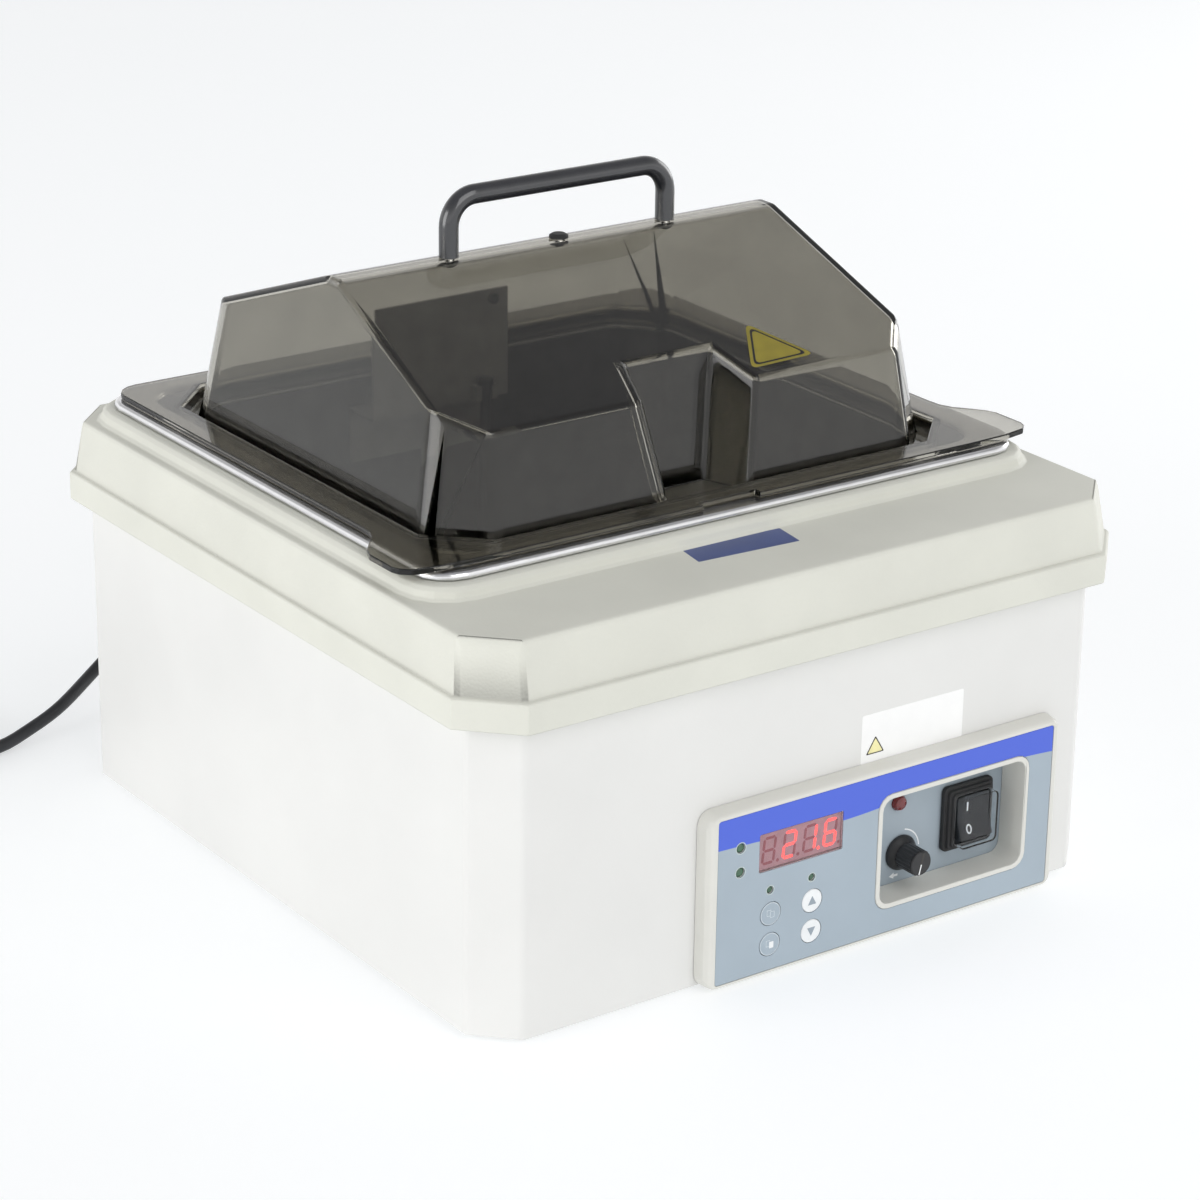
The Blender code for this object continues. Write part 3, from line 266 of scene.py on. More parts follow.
def finish(
    name,
    color,
    roughness,
    metallic=0.0,
    patches=(60.0, 0.05),
    grain=(900.0, 0.05),
    rough_spread=0.06,
    grain_kind="NOISE",
    stretch=(1.0, 1.0, 1.0),
    **sockets,
):
    """A surface with faint colour patches, uneven gloss and fine relief. Scales are per metre."""
    material = bpy.data.materials.new(name)
    material.use_nodes = True
    tree = material.node_tree
    shader = tree.nodes["Principled BSDF"]
    shader.inputs["Metallic"].default_value = metallic
    for socket, value in sockets.items():
        shader.inputs[socket.replace("_", " ")].default_value = value
    coords = tree.nodes.new("ShaderNodeTexCoord")
    mapping = tree.nodes.new("ShaderNodeMapping")
    mapping.inputs["Scale"].default_value = stretch
    tree.links.new(coords.outputs["Object"], mapping.inputs["Vector"])
    patch = tree.nodes.new("ShaderNodeTexNoise")
    patch.inputs["Scale"].default_value = patches[0]
    patch.inputs["Detail"].default_value = 4.0
    tree.links.new(mapping.outputs["Vector"], patch.inputs["Vector"])
    ramp = tree.nodes.new("ShaderNodeValToRGB")
    low = tuple(channel * (1 - patches[1]) for channel in color)
    high = tuple(min(1.0, channel * (1 + patches[1])) for channel in color)
    ramp.color_ramp.elements[0].position = 0.3
    ramp.color_ramp.elements[0].color = (*low, 1.0)
    ramp.color_ramp.elements[1].position = 0.7
    ramp.color_ramp.elements[1].color = (*high, 1.0)
    tree.links.new(patch.outputs["Fac"], ramp.inputs["Fac"])
    tree.links.new(ramp.outputs["Color"], shader.inputs["Base Color"])
    gloss = tree.nodes.new("ShaderNodeMapRange")
    gloss.inputs["To Min"].default_value = max(0.0, roughness - rough_spread)
    gloss.inputs["To Max"].default_value = min(1.0, roughness + rough_spread)
    tree.links.new(patch.outputs["Fac"], gloss.inputs["Value"])
    tree.links.new(gloss.outputs["Result"], shader.inputs["Roughness"])
    if grain_kind == "CELLS":
        relief = tree.nodes.new("ShaderNodeTexVoronoi")
        height = relief.outputs["Distance"]
    else:
        relief = tree.nodes.new("ShaderNodeTexNoise")
        height = relief.outputs["Fac"]
    relief.inputs["Scale"].default_value = grain[0]
    tree.links.new(mapping.outputs["Vector"], relief.inputs["Vector"])
    bump = tree.nodes.new("ShaderNodeBump")
    bump.inputs["Strength"].default_value = grain[1]
    bump.inputs["Distance"].default_value = 0.0004
    tree.links.new(height, bump.inputs["Height"])
    tree.links.new(bump.outputs["Normal"], shader.inputs["Normal"])
    return material


def glowing(name, color, strength):
    material = finish(name, color, 0.4, patches=(400.0, 0.08))
    shader = material.node_tree.nodes["Principled BSDF"]
    shader.inputs["Emission Color"].default_value = (*color, 1.0)
    shader.inputs["Emission Strength"].default_value = strength
    return material


def overlay_film():
    """Blue-grey film with a blue band along its top whose lower edge dips and rises along the panel."""
    material = finish("film_print", (0.36, 0.43, 0.49), 0.38, patches=(30.0, 0.03), grain=(2500.0, 0.08))
    tree = material.node_tree
    shader = tree.nodes["Principled BSDF"]
    ground = next(node for node in tree.nodes if node.type == "VALTORGB")
    coords = next(node for node in tree.nodes if node.type == "TEX_COORD")
    split = tree.nodes.new("ShaderNodeSeparateXYZ")
    tree.links.new(coords.outputs["Object"], split.inputs["Vector"])
    along = tree.nodes.new("ShaderNodeMapRange")
    low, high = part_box("panel_overlay")
    along.inputs["From Min"].default_value = low.x
    along.inputs["From Max"].default_value = high.x
    tree.links.new(split.outputs["X"], along.inputs["Value"])
    wave = tree.nodes.new("ShaderNodeFloatCurve")
    points = wave.mapping.curves[0].points
    points[0].location = (0.0, 0.645)
    points[1].location = (1.0, 0.70)
    for spot in ((0.12, 0.60), (0.3, 0.50), (0.42, 0.51), (0.55, 0.64), (0.72, 0.80), (0.86, 0.78)):
        points.new(*spot)
    wave.mapping.update()
    tree.links.new(along.outputs["Result"], wave.inputs["Value"])
    edge = tree.nodes.new("ShaderNodeMapRange")
    edge.inputs["To Min"].default_value = high.z - 0.028
    edge.inputs["To Max"].default_value = high.z - 0.008
    tree.links.new(wave.outputs["Value"], edge.inputs["Value"])
    above = tree.nodes.new("ShaderNodeMath")
    above.operation = "GREATER_THAN"
    tree.links.new(split.outputs["Z"], above.inputs[0])
    tree.links.new(edge.outputs["Result"], above.inputs[1])
    mix = tree.nodes.new("ShaderNodeMix")
    mix.data_type = "RGBA"
    colors = [socket for socket in mix.inputs if socket.type == "RGBA"]
    tree.links.new(above.outputs["Value"], mix.inputs["Factor"])
    tree.links.new(ground.outputs["Color"], colors[0])
    colors[1].default_value = (0.07, 0.13, 0.66, 1.0)
    result = next(socket for socket in mix.outputs if socket.type == "RGBA")
    tree.links.new(result, shader.inputs["Base Color"])
    return material


PAINT = finish("case_paint", (0.74, 0.738, 0.72), 0.42, patches=(14.0, 0.02), grain=(1400.0, 0.10))
MOULDED = finish(
    "cover_grain", (0.67, 0.672, 0.605), 0.55, patches=(20.0, 0.03), grain=(620.0, 0.15),
    grain_kind="CELLS",
)
BEZEL = finish("bezel_plastic", (0.69, 0.685, 0.64), 0.4, patches=(30.0, 0.03), grain=(1500.0, 0.12))
RIM_STEEL = finish(
    "rim_steel", (0.74, 0.74, 0.75), 0.22, 1.0, (90.0, 0.06), (700.0, 0.03), 0.08, stretch=(1, 1, 6),
)
# Tank steel with painted shade: the same steel as the rim, darkened to stand in for the shadow inside the
# tank under the lid.
SHADE_PAINTED_STEEL = finish("inner_steel_painted_shade", (0.30, 0.30, 0.31), 0.34, 1.0, (60.0, 0.1), (500.0, 0.02), 0.1)
BRACKET = finish("bracket_satin", (0.42, 0.42, 0.41), 0.55, 0.3, (90.0, 0.08), (700.0, 0.12), 0.08)
ZINC = finish("zinc_plate", (0.58, 0.6, 0.62), 0.38, 1.0, (120.0, 0.12), (600.0, 0.15), 0.1)
BRASS = finish("plug_brass", (0.76, 0.6, 0.3), 0.3, 1.0, (200.0, 0.08), (900.0, 0.1), 0.08)
BLACK_GLOSS = finish(
    "handle_black", (0.02, 0.021, 0.025), 0.16, patches=(80.0, 0.2), grain=(300.0, 0.05), rough_spread=0.04,
    Specular_IOR_Level=1.0,
)
BLACK_MATT = finish("knob_black", (0.018, 0.018, 0.02), 0.4, patches=(150.0, 0.2), grain=(2500.0, 0.15))
RUBBER = finish("rubber_black", (0.02, 0.02, 0.021), 0.62, patches=(200.0, 0.2), grain=(3000.0, 0.25))
CORD_RUBBER = finish("cord_jacket", (0.016, 0.017, 0.02), 0.42, patches=(120.0, 0.2), grain=(1800.0, 0.2))
BOARD = finish("board_green", (0.02, 0.16, 0.07), 0.4, patches=(300.0, 0.15), grain=(900.0, 0.2))
WHITE_PRINT = finish("white_print", (0.82, 0.84, 0.85), 0.45, patches=(200.0, 0.03), grain=(2500.0, 0.1))
PALE_PRINT = finish("pale_print", (0.60, 0.66, 0.70), 0.45, patches=(200.0, 0.03), grain=(2500.0, 0.1))
GREY_PRINT = finish("grey_print", (0.30, 0.35, 0.40), 0.45, patches=(200.0, 0.03), grain=(2500.0, 0.1))
POCKET_FILM = finish("pocket_film", (0.34, 0.40, 0.45), 0.42, patches=(40.0, 0.03), grain=(2500.0, 0.08))
SILICONE = finish("heater_silicone", (0.45, 0.1, 0.05), 0.6, patches=(90.0, 0.12), grain=(1200.0, 0.3))
FIBRE = finish("insulation_fibre", (0.72, 0.68, 0.5), 0.9, patches=(80.0, 0.2), grain=(700.0, 0.9))
LAMINATE = finish(
    "core_laminate", (0.16, 0.16, 0.17), 0.5, 0.6, (50.0, 0.1), (900.0, 0.4), stretch=(1, 14, 1),
)
LENS_GREEN = finish("lens_green", (0.06, 0.13, 0.08), 0.2, patches=(400.0, 0.2))
LENS_RED = finish("lens_red", (0.16, 0.012, 0.015), 0.12, patches=(300.0, 0.2), Coat_Weight=0.6)
BLUE_LABEL = finish("label_blue", (0.055, 0.085, 0.24), 0.4, patches=(70.0, 0.1), grain=(1500.0, 0.12))
WHITE_LABEL = finish("label_white", (0.9, 0.9, 0.89), 0.42, patches=(60.0, 0.02), grain=(1500.0, 0.1))
YELLOW = finish("label_yellow", (0.95, 0.83, 0.10), 0.35, patches=(150.0, 0.06), grain=(1500.0, 0.1))
PALE_YELLOW = finish(
    "label_pale_yellow", (0.86, 0.80, 0.42), 0.4, patches=(150.0, 0.05), grain=(1500.0, 0.1),
)
LABEL_INK = finish("label_ink", (0.03, 0.028, 0.025), 0.4, patches=(150.0, 0.2), grain=(1500.0, 0.1))
SMOKED = finish(
    "smoked_acrylic", (0.46, 0.445, 0.40), 0.03, patches=(25.0, 0.06), grain=(35.0, 0.02), rough_spread=0.02,
    Transmission_Weight=1.0, IOR=1.49,
)
CLEAR_BOOT = finish(
    "clear_boot", (0.95, 0.96, 0.97), 0.06, patches=(200.0, 0.04), grain=(250.0, 0.12), rough_spread=0.03,
    Transmission_Weight=1.0, IOR=1.15,
)
DISPLAY_GLASS = finish(
    "display_red", (0.95, 0.84, 0.86), 0.08, patches=(200.0, 0.03), rough_spread=0.02,
    Transmission_Weight=1.0, IOR=1.3,
)
DISPLAY_FACE = finish("display_face", (0.60, 0.42, 0.45), 0.4, patches=(250.0, 0.06))
GHOST = finish("segment_off", (0.42, 0.16, 0.18), 0.4, patches=(250.0, 0.05))
FILM = finish("key_film", (0.36, 0.43, 0.49), 0.38, patches=(60.0, 0.03), grain=(2500.0, 0.08))
LED_RING = finish("led_ring", (0.52, 0.60, 0.58), 0.4, patches=(300.0, 0.05))
ROCKER_BLACK = finish("rocker_black", (0.010, 0.011, 0.014), 0.14, patches=(150.0, 0.2), grain=(800.0, 0.05))
LIT = glowing("segment_lit", (1.0, 0.10, 0.09), 1.5)


# ------------------------------------------------------------------ camera and cord


def build_camera():
    a, e, roll = CAMERA_AZIMUTH, CAMERA_ELEVATION, CAMERA_ROLL
    back = Vector((math.sin(a) * math.cos(e), -math.cos(a) * math.cos(e), math.sin(e)))
    level = Vector((math.cos(a), math.sin(a), 0.0))
    lift = back.cross(level)
    right = level * math.cos(roll) + lift * math.sin(roll)
    up = lift * math.cos(roll) - level * math.sin(roll)
    data = bpy.data.cameras.new("camera")
    data.lens = CAMERA_LENS
    data.sensor_width = 36.0
    data.clip_start = 0.05
    data.clip_end = 30.0
    camera = bpy.data.objects.new("camera", data)
    turn = Matrix((right, up, back)).transposed().to_4x4()
    camera.matrix_world = Matrix.Translation(Vector(CAMERA_SPOT) * MM) @ turn
    bpy.context.scene.collection.objects.link(camera)
    bpy.context.scene.camera = camera


def on_coil(radius, angle, ahead, z):
    """A point ahead of the tangent point at that angle, for turns that run clockwise seen from above."""
    x = COIL_SPOT[0] + radius * math.cos(angle) + ahead * math.sin(angle)
    y = COIL_SPOT[1] + radius * math.sin(angle) - ahead * math.cos(angle)
    return Vector((x, y, z))


def coil_points():
    """The turns, slot by slot: two across and four high, each slot a little under a full turn."""
    whole = 2 * math.pi * COIL_LOOPS + (COIL_IN - COIL_OUT) % (2 * math.pi)
    share = whole / len(COIL_SLOTS)
    shift = COIL_CROSS / share
    points = []
    steps = COIL_LOOPS * 40
    for i in range(steps + 1):
        place = i / steps * len(COIL_SLOTS)
        number = min(len(COIL_SLOTS) - 1, int(round(place)))
        side, layer = COIL_SLOTS[max(0, min(len(COIL_SLOTS) - 1, int(place)))]
        if 0 < number < len(COIL_SLOTS) and abs(place - number) < shift / 2:
            t = (place - number) / shift + 0.5
            t = 0.5 - 0.5 * math.cos(math.pi * t)
            before, after = COIL_SLOTS[number - 1], COIL_SLOTS[number]
            side = before[0] + (after[0] - before[0]) * t
            layer = before[1] + (after[1] - before[1]) * t
        angle = COIL_IN - whole * i / steps
        points.append(on_coil(COIL_MID + side * CORD_R, angle, 0, CORD_LOW + layer * CORD_D))
    return points


def smooth_path(points, spacing):
    knots = [Vector(p) for p in points]
    knots = [2 * knots[0] - knots[1], *knots, 2 * knots[-1] - knots[-2]]
    dense = []
    for a, b, c, d in zip(knots, knots[1:], knots[2:], knots[3:]):
        for step in range(40):
            t = step / 40
            curve = (2 * b) + (c - a) * t + (2 * a - 5 * b + 4 * c - d) * t * t
            curve = curve + (3 * b - a - 3 * c + d) * t**3
            dense.append(0.5 * curve)
    dense.append(knots[-2])
    result = [dense[0]]
    for point in dense[1:-1]:
        if (point - result[-1]).length >= spacing:
            result.append(point)
    result.append(dense[-1])
    return result


def cord_route():
    low, high = span("strain_relief")
    x = (low.x + high.x) / 2
    z = (low.z + high.z) / 2
    return [
        (x, high.y + 0.3, z),
        (x - 0.5, 240, z - 0.5),
        (x - 7, 257, z - 6),
        (x - 22, 267, 40),
        (-144, 266, 23.5),
        (-175.8, 250, 13),
        (-200, 242.5, 6.9),
        (-219.7, 237, CORD_LOW + 0.5),
        on_coil(COIL_MID + CORD_R, COIL_IN, -25.0, CORD_LOW),
        on_coil(COIL_MID + CORD_R, COIL_IN, -12.0, CORD_LOW),
        on_coil(COIL_MID + CORD_R, COIL_IN, 0.0, CORD_LOW),
    ]


def build_cord():
    free = smooth_path(cord_route(), 6.0)
    wound = coil_points()
    leave = wound[-1].z
    rises = ((6, 0.2), (12, 0.9), (18, 1.6), (24, 2.0), (27, 2.1))
    tail = [on_coil(COIL_MID + CORD_R, COIL_OUT, ahead, leave + rise) for ahead, rise in rises]
    points = free[:-1] + wound + tail
    curve = bpy.data.curves.new("power_cord_flex", "CURVE")
    curve.dimensions = "3D"
    curve.bevel_depth = CORD_R * MM
    curve.bevel_resolution = 4
    curve.use_fill_caps = True
    spline = curve.splines.new("POLY")
    spline.points.add(len(points) - 1)
    for spot, point in zip(spline.points, points):
        spot.co = (*(point * MM), 1.0)
    spline.use_smooth = True
    curve.materials.append(CORD_RUBBER)
    obj = bpy.data.objects.new("power_cord_flex", curve)
    bpy.context.scene.collection.objects.link(obj)
    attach(obj, "housing")
    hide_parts("power_cord", "cord_coil")


build_camera()
build_cord()

# ------------------------------------------------------------------ lid


def lid_edges(centre, angle, length):
    """Wide at the dome's upright corners, narrower along its roof, narrow on the flange.

    The small holes along the ridge stay sharp.
    """
    if angle < 14 or (centre.z > RIDGE_HOLES_Z and length < 3.5):
        return 0.0
    if DOME_BASE_Z < centre.z < DOME_SHOULDER_Z and abs(centre.x) > 100 and length > 35:
        return LID_CORNER
    if centre.z > DOME_BASE_Z:
        return LID_ROUND
    return LID_EDGE


def sloped_sticker(name, corners, soft, lift, depth, material, body):
    """A thin film on a sloping face, from its corners; it stands lift above them."""
    a, b, c = (Vector(corner) for corner in corners[:3])
    normal = (b - a).cross(c - a).normalized()
    if normal.z < 0:
        normal = -normal
    across = (b - a).normalized()
    along = normal.cross(across)
    flat = [((Vector(p) - a).dot(across), (Vector(p) - a).dot(along)) for p in corners]
    outline = fillet(flat, soft, 6) if soft else flat
    rings = []
    for height in (lift, lift + depth):
        rings.append([tuple(a + across * x + along * y + normal * height) for x, y in outline])
    return piece(name, loft(rings), material, body)


def shrunk(corners, share):
    middle_point = sum((Vector(c) for c in corners), Vector()) / len(corners)
    return [tuple(middle_point.lerp(Vector(c), share)) for c in corners]


def build_lid():
    rounded("lid_shell", "lid", lid_edges, LID_CORNER, SMOKED, "lid_body", angle=40)
    low, high = span("lid_handle")
    path = []
    reach = (high.x - low.x) / 2 - HANDLE_R
    bend = high.z - HANDLE_R - HANDLE_BEND
    y = (low.y + high.y) / 2
    path.append((-reach, y, low.z))
    for side, start in ((-1, math.pi), (1, math.pi / 2)):
        for step in range(13):
            angle = start - step * math.pi / 24
            x = side * (reach - HANDLE_BEND) + HANDLE_BEND * math.cos(angle)
            path.append((x, y, bend + HANDLE_BEND * math.sin(angle)))
    path.append((reach, y, low.z))
    curve = bpy.data.curves.new("handle_bar", "CURVE")
    curve.dimensions = "3D"
    curve.bevel_depth = (HANDLE_R - 0.05) * MM
    curve.bevel_resolution = 6
    curve.use_fill_caps = True
    spline = curve.splines.new("POLY")
    spline.points.add(len(path) - 1)
    for spot, point in zip(spline.points, path):
        spot.co = (*(Vector(point) * MM), 1.0)
    spline.use_smooth = True
    curve.materials.append(BLACK_GLOSS)
    bar = bpy.data.objects.new("handle_bar", curve)
    bpy.context.scene.collection.objects.link(bar)
    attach(bar, "lid_body")
    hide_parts("lid_handle")
    repaint("handle_screw_left", ZINC)
    repaint("handle_screw_right", ZINC)
    repaint("vent_plug", RUBBER)
    corners = [(54.9, -65.9, 275.9), (73.0, -90.1, 266.2), (39.3, -91.1, 265.8)]
    lift = STICKER_LIFT
    for number, (share, material) in enumerate(((1.2, YELLOW), (1.02, LABEL_INK), (0.9, YELLOW))):
        layer = shrunk(corners, share)
        sloped_sticker(f"lid_sticker_{number}", layer, 4.2 * share, lift, SKIN, material, "lid_body")
        lift += SKIN


# ------------------------------------------------------------------ case, cover and tank


def case_edges(centre, angle, length):
    if angle < 20:
        return 0.0
    outer = abs(centre.x) > 160 and abs(centre.y) > 170
    if outer and length > 100:
        return CASE_ROUND
    return 0.3 if length > 3 and angle > 60 else 0.0


def cover_edges(centre, angle, length):
    """The hidden ring under the deck stays sharp: rounded, its face would close over the opening."""
    if angle < 20 or abs(centre.z - COVER_UNDERSIDE) < 1.0:
        return 0.0
    outer = abs(centre.x) > 165 and abs(centre.y) > 175
    if outer and abs(centre.z - 190) < 12 and length > 12:
        return CASE_ROUND
    return COVER_EDGE


def steel_edges(centre, angle, length):
    return STEEL_ROUND if angle > 25 and centre.z > INNER_STEEL_Z else 0.0


def film(name, points, y, material, body="housing"):
    """A thin print or label on a face that looks to the front, standing on the plane y."""
    return piece(name, plate(points, (y, y - SKIN)), material, body)


def build_case():
    rounded("case_shell", "lower_case", case_edges, CASE_ROUND, PAINT)
    rounded("cover_shell", "top_cover", cover_edges, CASE_ROUND, MOULDED)
    tank = rounded("tank_shell", "tank", steel_edges, STEEL_ROUND, RIM_STEEL)
    # Faces below INNER_STEEL_Z get the darkened steel: painted shade inside the tank under the lid, not a
    # different metal.
    tank.data.materials.append(SHADE_PAINTED_STEEL)
    for polygon in tank.data.polygons:
        if polygon.center.z < INNER_STEEL_Z * MM:
            polygon.material_index = 1
    front = span("lower_case")[0].y
    film("front_label", rect((28.0, 92.0), (93.5, 119.5), 1.2), front, WHITE_LABEL)
    outline = fillet([(31.0, 98.2), (42.4, 98.2), (36.7, 107.4)], 1.0)
    film("front_label_mark", outline, front - SKIN, LABEL_INK)
    inside = fillet([(32.1, 98.8), (41.3, 98.8), (36.7, 106.2)], 0.7)
    film("front_label_mark_fill", inside, front - 2 * SKIN, PALE_YELLOW)
    corners = [(-46.5, -163.0), (11.0, -166.5), (13.5, -147.5), (-43.5, -144.5)]
    piece("deck_label", slab(fillet(corners, 0.8), (DECK_Z, DECK_Z + SKIN)), BLUE_LABEL, "housing")


# ------------------------------------------------------------------ control panel


def segment(cx, cz, along, thick, upright_bar):
    """One bar of a digit, pointed at both ends and leaning with the digit."""
    h = thick / 2
    if upright_bar:
        shape = [(0, along), (h, along - h), (h, -along + h), (0, -along), (-h, -along + h), (-h, along - h)]
    else:
        shape = [(along, 0), (along - h, h), (-along + h, h), (-along, 0), (-along + h, -h), (along - h, -h)]
    return [(cx + x + (cz + z) * DIGIT_LEAN, cz + z) for x, z in shape]


def digit_bars():
    """The seven bars, in the order top, upper right, lower right, bottom, lower left, upper left, middle."""
    w, h, t = DIGIT_W / 2, DIGIT_H / 2, DIGIT_BAR
    reach_x = w - 0.25
    reach_z = h / 2 - 0.25
    return [
        segment(0, h, reach_x, t, False),
        segment(w, h / 2, reach_z, t, True),
        segment(w, -h / 2, reach_z, t, True),
        segment(0, -h, reach_x, t, False),
        segment(-w, -h / 2, reach_z, t, True),
        segment(-w, h / 2, reach_z, t, True),
        segment(0, 0, reach_x, t, False),
    ]


def build_display():
    low, high = span("display_filter")
    repaint("display_filter", DISPLAY_GLASS)
    repaint("display_module", DISPLAY_FACE)
    centre_x = (low.x + high.x) / 2
    centre_z = (low.z + high.z) / 2
    front = span("display_module")[0].y
    lit, unlit = [], []
    for place, bars in enumerate(LIT_BARS):
        cell = centre_x + (place - 1.5) * DIGIT_PITCH
        for number, shape in enumerate(digit_bars()):
            points = [(cell + x, centre_z + z) for x, z in shape]
            (lit if number in bars else unlit).append(plate(points, (front, front - DIGIT_DEPTH)))
        dot = circle(0.9, 12, cell + DIGIT_W / 2 + 2.0, centre_z - DIGIT_H / 2)
        (lit if place == LIT_DOT else unlit).append(plate(dot, (front, front - DIGIT_DEPTH)))
    piece("digits_lit", merged(lit), LIT, "housing")
    piece("digits_unlit", merged(unlit), GHOST, "housing")


def ring_plate(cx, cz, outer, inner, y, start=0.0, end=360.0):
    """A flat ring, or part of one, facing the front."""
    bm = bmesh.new()
    whole = end - start >= 360
    steps = max(6, int((end - start) / 9))
    rows = []
    for i in range(steps if whole else steps + 1):
        a = math.radians(start + (end - start) * i / steps)
        spots = ((outer, y), (inner, y), (inner, y - SKIN), (outer, y - SKIN))
        rows.append([bm.verts.new((cx + r * math.cos(a), py, cz + r * math.sin(a))) for r, py in spots])
    pairs = list(zip(rows, rows[1:])) + ([(rows[-1], rows[0])] if whole else [])
    for one, two in pairs:
        for i in range(4):
            j = (i + 1) % 4
            bm.faces.new((one[i], one[j], two[j], two[i]))
    if not whole:
        bm.faces.new(rows[0])
        bm.faces.new(list(reversed(rows[-1])))
    bmesh.ops.recalc_face_normals(bm, faces=bm.faces)
    return bm


def build_keys():
    for name, material in (("up", WHITE_PRINT), ("down", WHITE_PRINT), ("menu", FILM), ("set", FILM)):
        repaint(f"key_{name}", material)
        low, high = span(f"key_{name}")
        cx, cz, face = (low.x + high.x) / 2, (low.z + high.z) / 2, low.y
        body = f"key_{name}_body"
        if name in ("up", "down"):
            tip = 1 if name == "up" else -1
            points = [(cx - 2.5, cz - tip * 2.0), (cx + 2.5, cz - tip * 2.0), (cx, cz + tip * 2.6)]
            film(f"key_{name}_mark", fillet(points, 0.3), face, GREY_PRINT, body)
            continue
        piece(f"key_{name}_ring", ring_plate(cx, cz, 5.9, 5.55, face), PALE_PRINT, body)
        for number, shift in enumerate((-1.0, 1.0)):
            px, pz = cx + shift, cz - shift * 0.5
            page = rect((px - 1.3, px + 1.3), (pz - 1.7, pz + 1.7), 0.4)
            filled = name == "set" and number == 1
            ink = WHITE_PRINT if filled else PALE_PRINT
            film(f"key_{name}_page_{number}", page, face - number * SKIN, ink, body)
            if not filled:
                inner = rect((px - 1.0, px + 1.0), (pz - 1.4, pz + 1.4), 0.3)
                film(f"key_{name}_page_{number}_fill", inner, face - (number + 0.5) * SKIN, FILM, body)


def front_edges(centre, angle, length):
    return PANEL_ROUND if angle > 24 and centre.y < PANEL_FRONT_Y and length > 0.8 else 0.0


def build_panel():
    rounded("bezel_shell", "panel_bezel", front_edges, PANEL_ROUND, BEZEL)
    repaint("panel_overlay", overlay_film())
    repaint("pocket_plate", POCKET_FILM)
    for name in ("led_f", "led_c", "led_program", "led_heat"):
        repaint(name, LENS_GREEN)
        low, high = span(name)
        face = span("panel_overlay")[0].y
        radius = (high.x - low.x) / 2
        ring = ring_plate((low.x + high.x) / 2, (low.z + high.z) / 2, radius + 0.75, radius + 0.35, face)
        piece(f"{name}_ring", ring, LED_RING, "housing")
    repaint("led_safety", LENS_RED)
    build_display()
    build_keys()


# ------------------------------------------------------------------ limit dial and switch


def build_dial():
    low, high = span("knob")
    cx, cz = (low.x + high.x) / 2, (low.z + high.z) / 2
    face = low.y
    rear = high.y
    points = []
    for i in range(KNOB_RIBS * 4):
        angle = 2 * math.pi * i / (KNOB_RIBS * 4)
        radius = KNOB_R - (0.32 if i % 4 in (0, 1) else 0.0)
        points.append((cx + radius * math.cos(angle), cz + radius * math.sin(angle)))
    grip = loft([upright(points, y) for y in (rear - 3.0, face + 1.2)])
    cap_rows = [(KNOB_R - 0.45, rear - 4), (KNOB_R - 0.45, face + 0.5), (KNOB_R - 0.9, face)]
    cap = turned_y(cap_rows, 48, cx, cz)
    skirt_rows = [(KNOB_SKIRT_R - 0.1, rear), (KNOB_SKIRT_R, rear - 0.8), (KNOB_SKIRT_R - 0.5, rear - 1.8)]
    skirt_rows += [(KNOB_R + 0.9, rear - 3.0), (KNOB_R + 0.1, rear - 4.4)]
    skirt = turned_y(skirt_rows, 48, cx, cz)
    piece("knob_grip", merged([grip, cap, skirt]), BLACK_MATT, "limit_dial", ["knob"])
    a = math.radians(POINTER_ANGLE)
    side = Vector((-math.sin(a), 0, math.cos(a)))
    out = Vector((math.cos(a), 0, math.sin(a)))
    centre = Vector((cx, 0, cz))
    for name, inner, outer, half, material in (
        ("pointer_groove", -KNOB_R + 1.2, KNOB_R - 1.1, 0.75, LABEL_INK),
        ("pointer_line", 0.4, KNOB_R - 1.0, 0.33, WHITE_PRINT),
    ):
        y = face if name == "pointer_groove" else face - SKIN
        spots = ((inner, -half), (outer, -half), (outer, half), (inner, half))
        corners = [centre + out * r + side * s for r, s in spots]
        piece(name, plate([(c.x, c.z) for c in corners], (y, y - SKIN)), material, "limit_dial")
    edge = centre + out * (KNOB_R + 0.02)
    spots = ((-0.33, face + 0.9), (0.33, face + 0.9), (0.33, face + 6.0), (-0.33, face + 6.0))
    rings = [[edge + side * s + Vector((0, y, 0)) + out * r for s, y in spots] for r in (-0.2, 0.05)]
    piece("pointer_side", loft(rings), WHITE_PRINT, "limit_dial")
    repaint("limit_shaft", ZINC)
    plane = span("pocket_plate")[0].y
    piece("dial_arc", ring_plate(cx, cz, 12.4, 11.7, plane, 5, 78), WHITE_PRINT, "housing")
    head = [(cx - 6.4, cz - 12.2), (cx - 3.4, cz - 10.6), (cx - 3.4, cz - 13.8)]
    film("dial_arrow", head, plane, WHITE_PRINT)
    film("dial_arrow_tail", rect((cx - 3.6, cx - 0.8), (cz - 12.8, cz - 11.6), 0.1), plane, WHITE_PRINT)


def rubber_edges(centre, angle, length):
    return RUBBER_ROUND if angle > 24 and length > 0.6 else 0.0


def boot_edges(centre, angle, length):
    return BOOT_ROUND if angle > 24 and length > 0.3 else 0.0


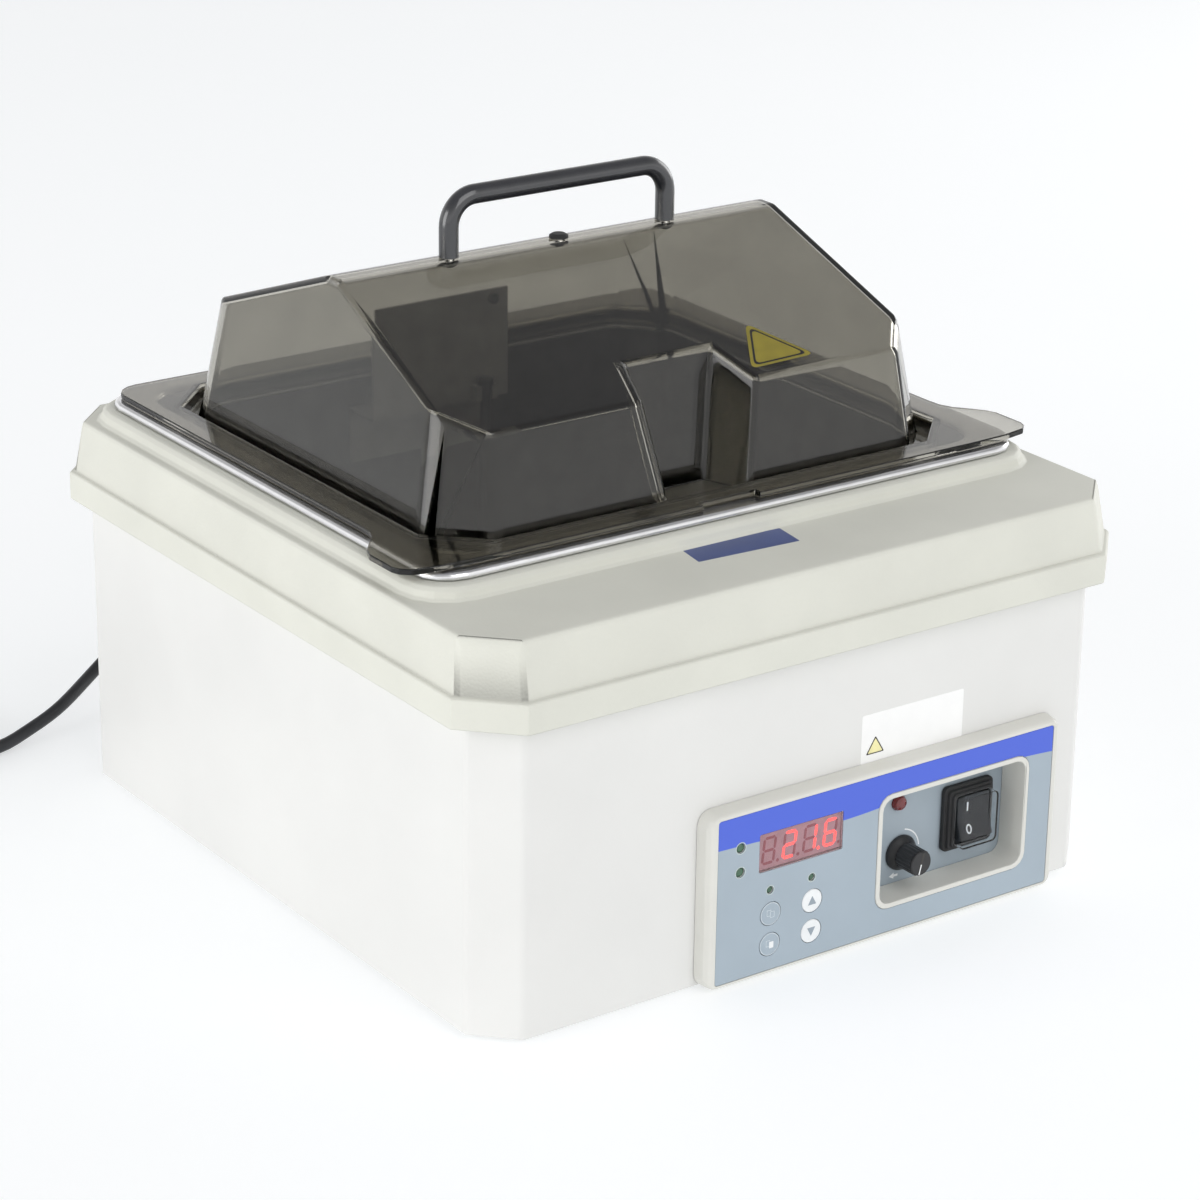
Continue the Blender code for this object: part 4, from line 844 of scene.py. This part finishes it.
def build_switch():
    rounded("surround_shell", "switch_surround", rubber_edges, RUBBER_ROUND, RUBBER)
    rounded("boot_shell", "switch_boot", boot_edges, BOOT_ROUND, CLEAR_BOOT)
    rounded("rocker_shell", "rocker", rubber_edges, RUBBER_ROUND, ROCKER_BLACK, "rocker_body")
    low, high = span("rocker")
    cx = (low.x + high.x) / 2
    turn = Matrix.Rotation(math.radians(-ROCKER_REST), 4, "X")
    place = Matrix.Translation(Vector((cx, ROCKER_PIVOT[0], ROCKER_PIVOT[1]))) @ turn
    stroke = plate(rect((-4.7, -3.8), (3.4, 8.2), 0.05), (0.0, -SKIN))
    marks = [stroke, ring_mark(-4.2, -6.0, 1.75, 2.5, 0.75)]
    for bm in marks:
        for vert in bm.verts:
            vert.co.y += -6.2 - 0.158 * abs(vert.co.z)
        bmesh.ops.transform(bm, matrix=place, verts=bm.verts)
    piece("rocker_marks", merged(marks), WHITE_PRINT, "rocker_body")
    repaint("switch_body", BLACK_MATT)


def ring_mark(cx, cz, half_x, half_z, stroke):
    """An upright oval ring."""
    bm = bmesh.new()
    rows = []
    for i in range(32):
        a = 2 * math.pi * i / 32
        spots = ((0.0, 0.0), (stroke, 0.0), (stroke, -SKIN), (0.0, -SKIN))
        row = []
        for inset, y in spots:
            x = cx + (half_x - inset) * math.cos(a)
            z = cz + (half_z - inset) * math.sin(a)
            row.append(bm.verts.new((x, y, z)))
        rows.append(row)
    for one, two in zip(rows, rows[1:] + rows[:1]):
        for i in range(4):
            j = (i + 1) % 4
            bm.faces.new((one[i], one[j], two[j], two[i]))
    bmesh.ops.recalc_face_normals(bm, faces=bm.faces)
    return bm


# ------------------------------------------------------------------ everything else


def build_rest():
    looks = {
        ZINC: [
            "base_plate", "heater_clamp", "tank_support_front", "tank_support_back", "limit_nut", "heatsink",
        ],
        RUBBER: ["foot_1", "foot_2", "foot_3", "foot_4"],
        # The tray and probe tube inside the tank get the darkened steel too: painted shade.
        SHADE_PAINTED_STEEL: ["diffuser_tray", "probe_tube"],
        RIM_STEEL: ["probe_screw"],
        BRACKET: ["probe_bracket"],
        FIBRE: ["tank_insulation"],
        SILICONE: ["heater_pad"],
        BOARD: ["control_board", "power_board"],
        BLACK_MATT: ["limit_thermostat"],
        BRASS: ["limit_bulb", "limit_capillary", "plug_blade_left", "plug_blade_right", "plug_ground_pin"],
        LAMINATE: ["transformer"],
        PALE_PRINT: ["terminal_block"],
        CORD_RUBBER: ["wire_harness", "strain_relief", "plug_body"],
    }
    for material, names in looks.items():
        for name in names:
            repaint(name, material)


build_lid()
build_case()
build_panel()
build_dial()
build_switch()
build_rest()

# ------------------------------------------------------------------ room


def build_room():
    mesh = bpy.data.meshes.new("floor")
    bm = bmesh.new()
    bmesh.ops.create_grid(bm, x_segments=1, y_segments=1, size=9.0)
    bm.to_mesh(mesh)
    bm.free()
    floor = bpy.data.objects.new("floor", mesh)
    white = finish("floor_white", (0.56, 0.565, 0.57), 0.6, patches=(3.0, 0.01), grain=(300.0, 0.02))
    shader = white.node_tree.nodes["Principled BSDF"]
    shader.inputs["Emission Color"].default_value = (0.97, 0.99, 1.0, 1.0)
    shader.inputs["Emission Strength"].default_value = 0.5
    mesh.materials.append(white)
    bpy.context.scene.collection.objects.link(floor)
    world = bpy.data.worlds.new("studio")
    world.use_nodes = True
    tree = world.node_tree
    coords = tree.nodes.new("ShaderNodeTexCoord")
    split = tree.nodes.new("ShaderNodeSeparateXYZ")
    ramp = tree.nodes.new("ShaderNodeValToRGB")
    ramp.color_ramp.elements[0].position = 0.0
    ramp.color_ramp.elements[0].color = (1.0, 1.0, 1.0, 1.0)
    ramp.color_ramp.elements[1].position = 0.8
    ramp.color_ramp.elements[1].color = (0.30, 0.30, 0.31, 1.0)
    for place, level in ((0.2, 0.96), (0.5, 0.50)):
        step = ramp.color_ramp.elements.new(place)
        step.color = (level, level, level, 1.0)
    tree.links.new(coords.outputs["Generated"], split.inputs["Vector"])
    tree.links.new(split.outputs["Z"], ramp.inputs["Fac"])
    tree.links.new(ramp.outputs["Color"], tree.nodes["Background"].inputs["Color"])
    tree.nodes["Background"].inputs["Strength"].default_value = 1.2
    bpy.context.scene.world = world
    for name, spot, size, power in (
        ("left_panel", (-2.4, 0.15, 0.75), 1.5, 20),
        ("right_panel", (2.4, 0.3, 0.75), 1.3, 13),
        ("front_panel", (0.3, -2.6, 2.3), 2.4, 34),
    ):
        data = bpy.data.lights.new(name, "AREA")
        data.size = size
        data.energy = power
        light = bpy.data.objects.new(name, data)
        light.location = spot
        light.rotation_euler = (Vector((0, 0, 0.15)) - Vector(spot)).to_track_quat("-Z", "Y").to_euler()
        bpy.context.scene.collection.objects.link(light)
    bpy.context.scene.view_settings.view_transform = "Standard"


build_room()
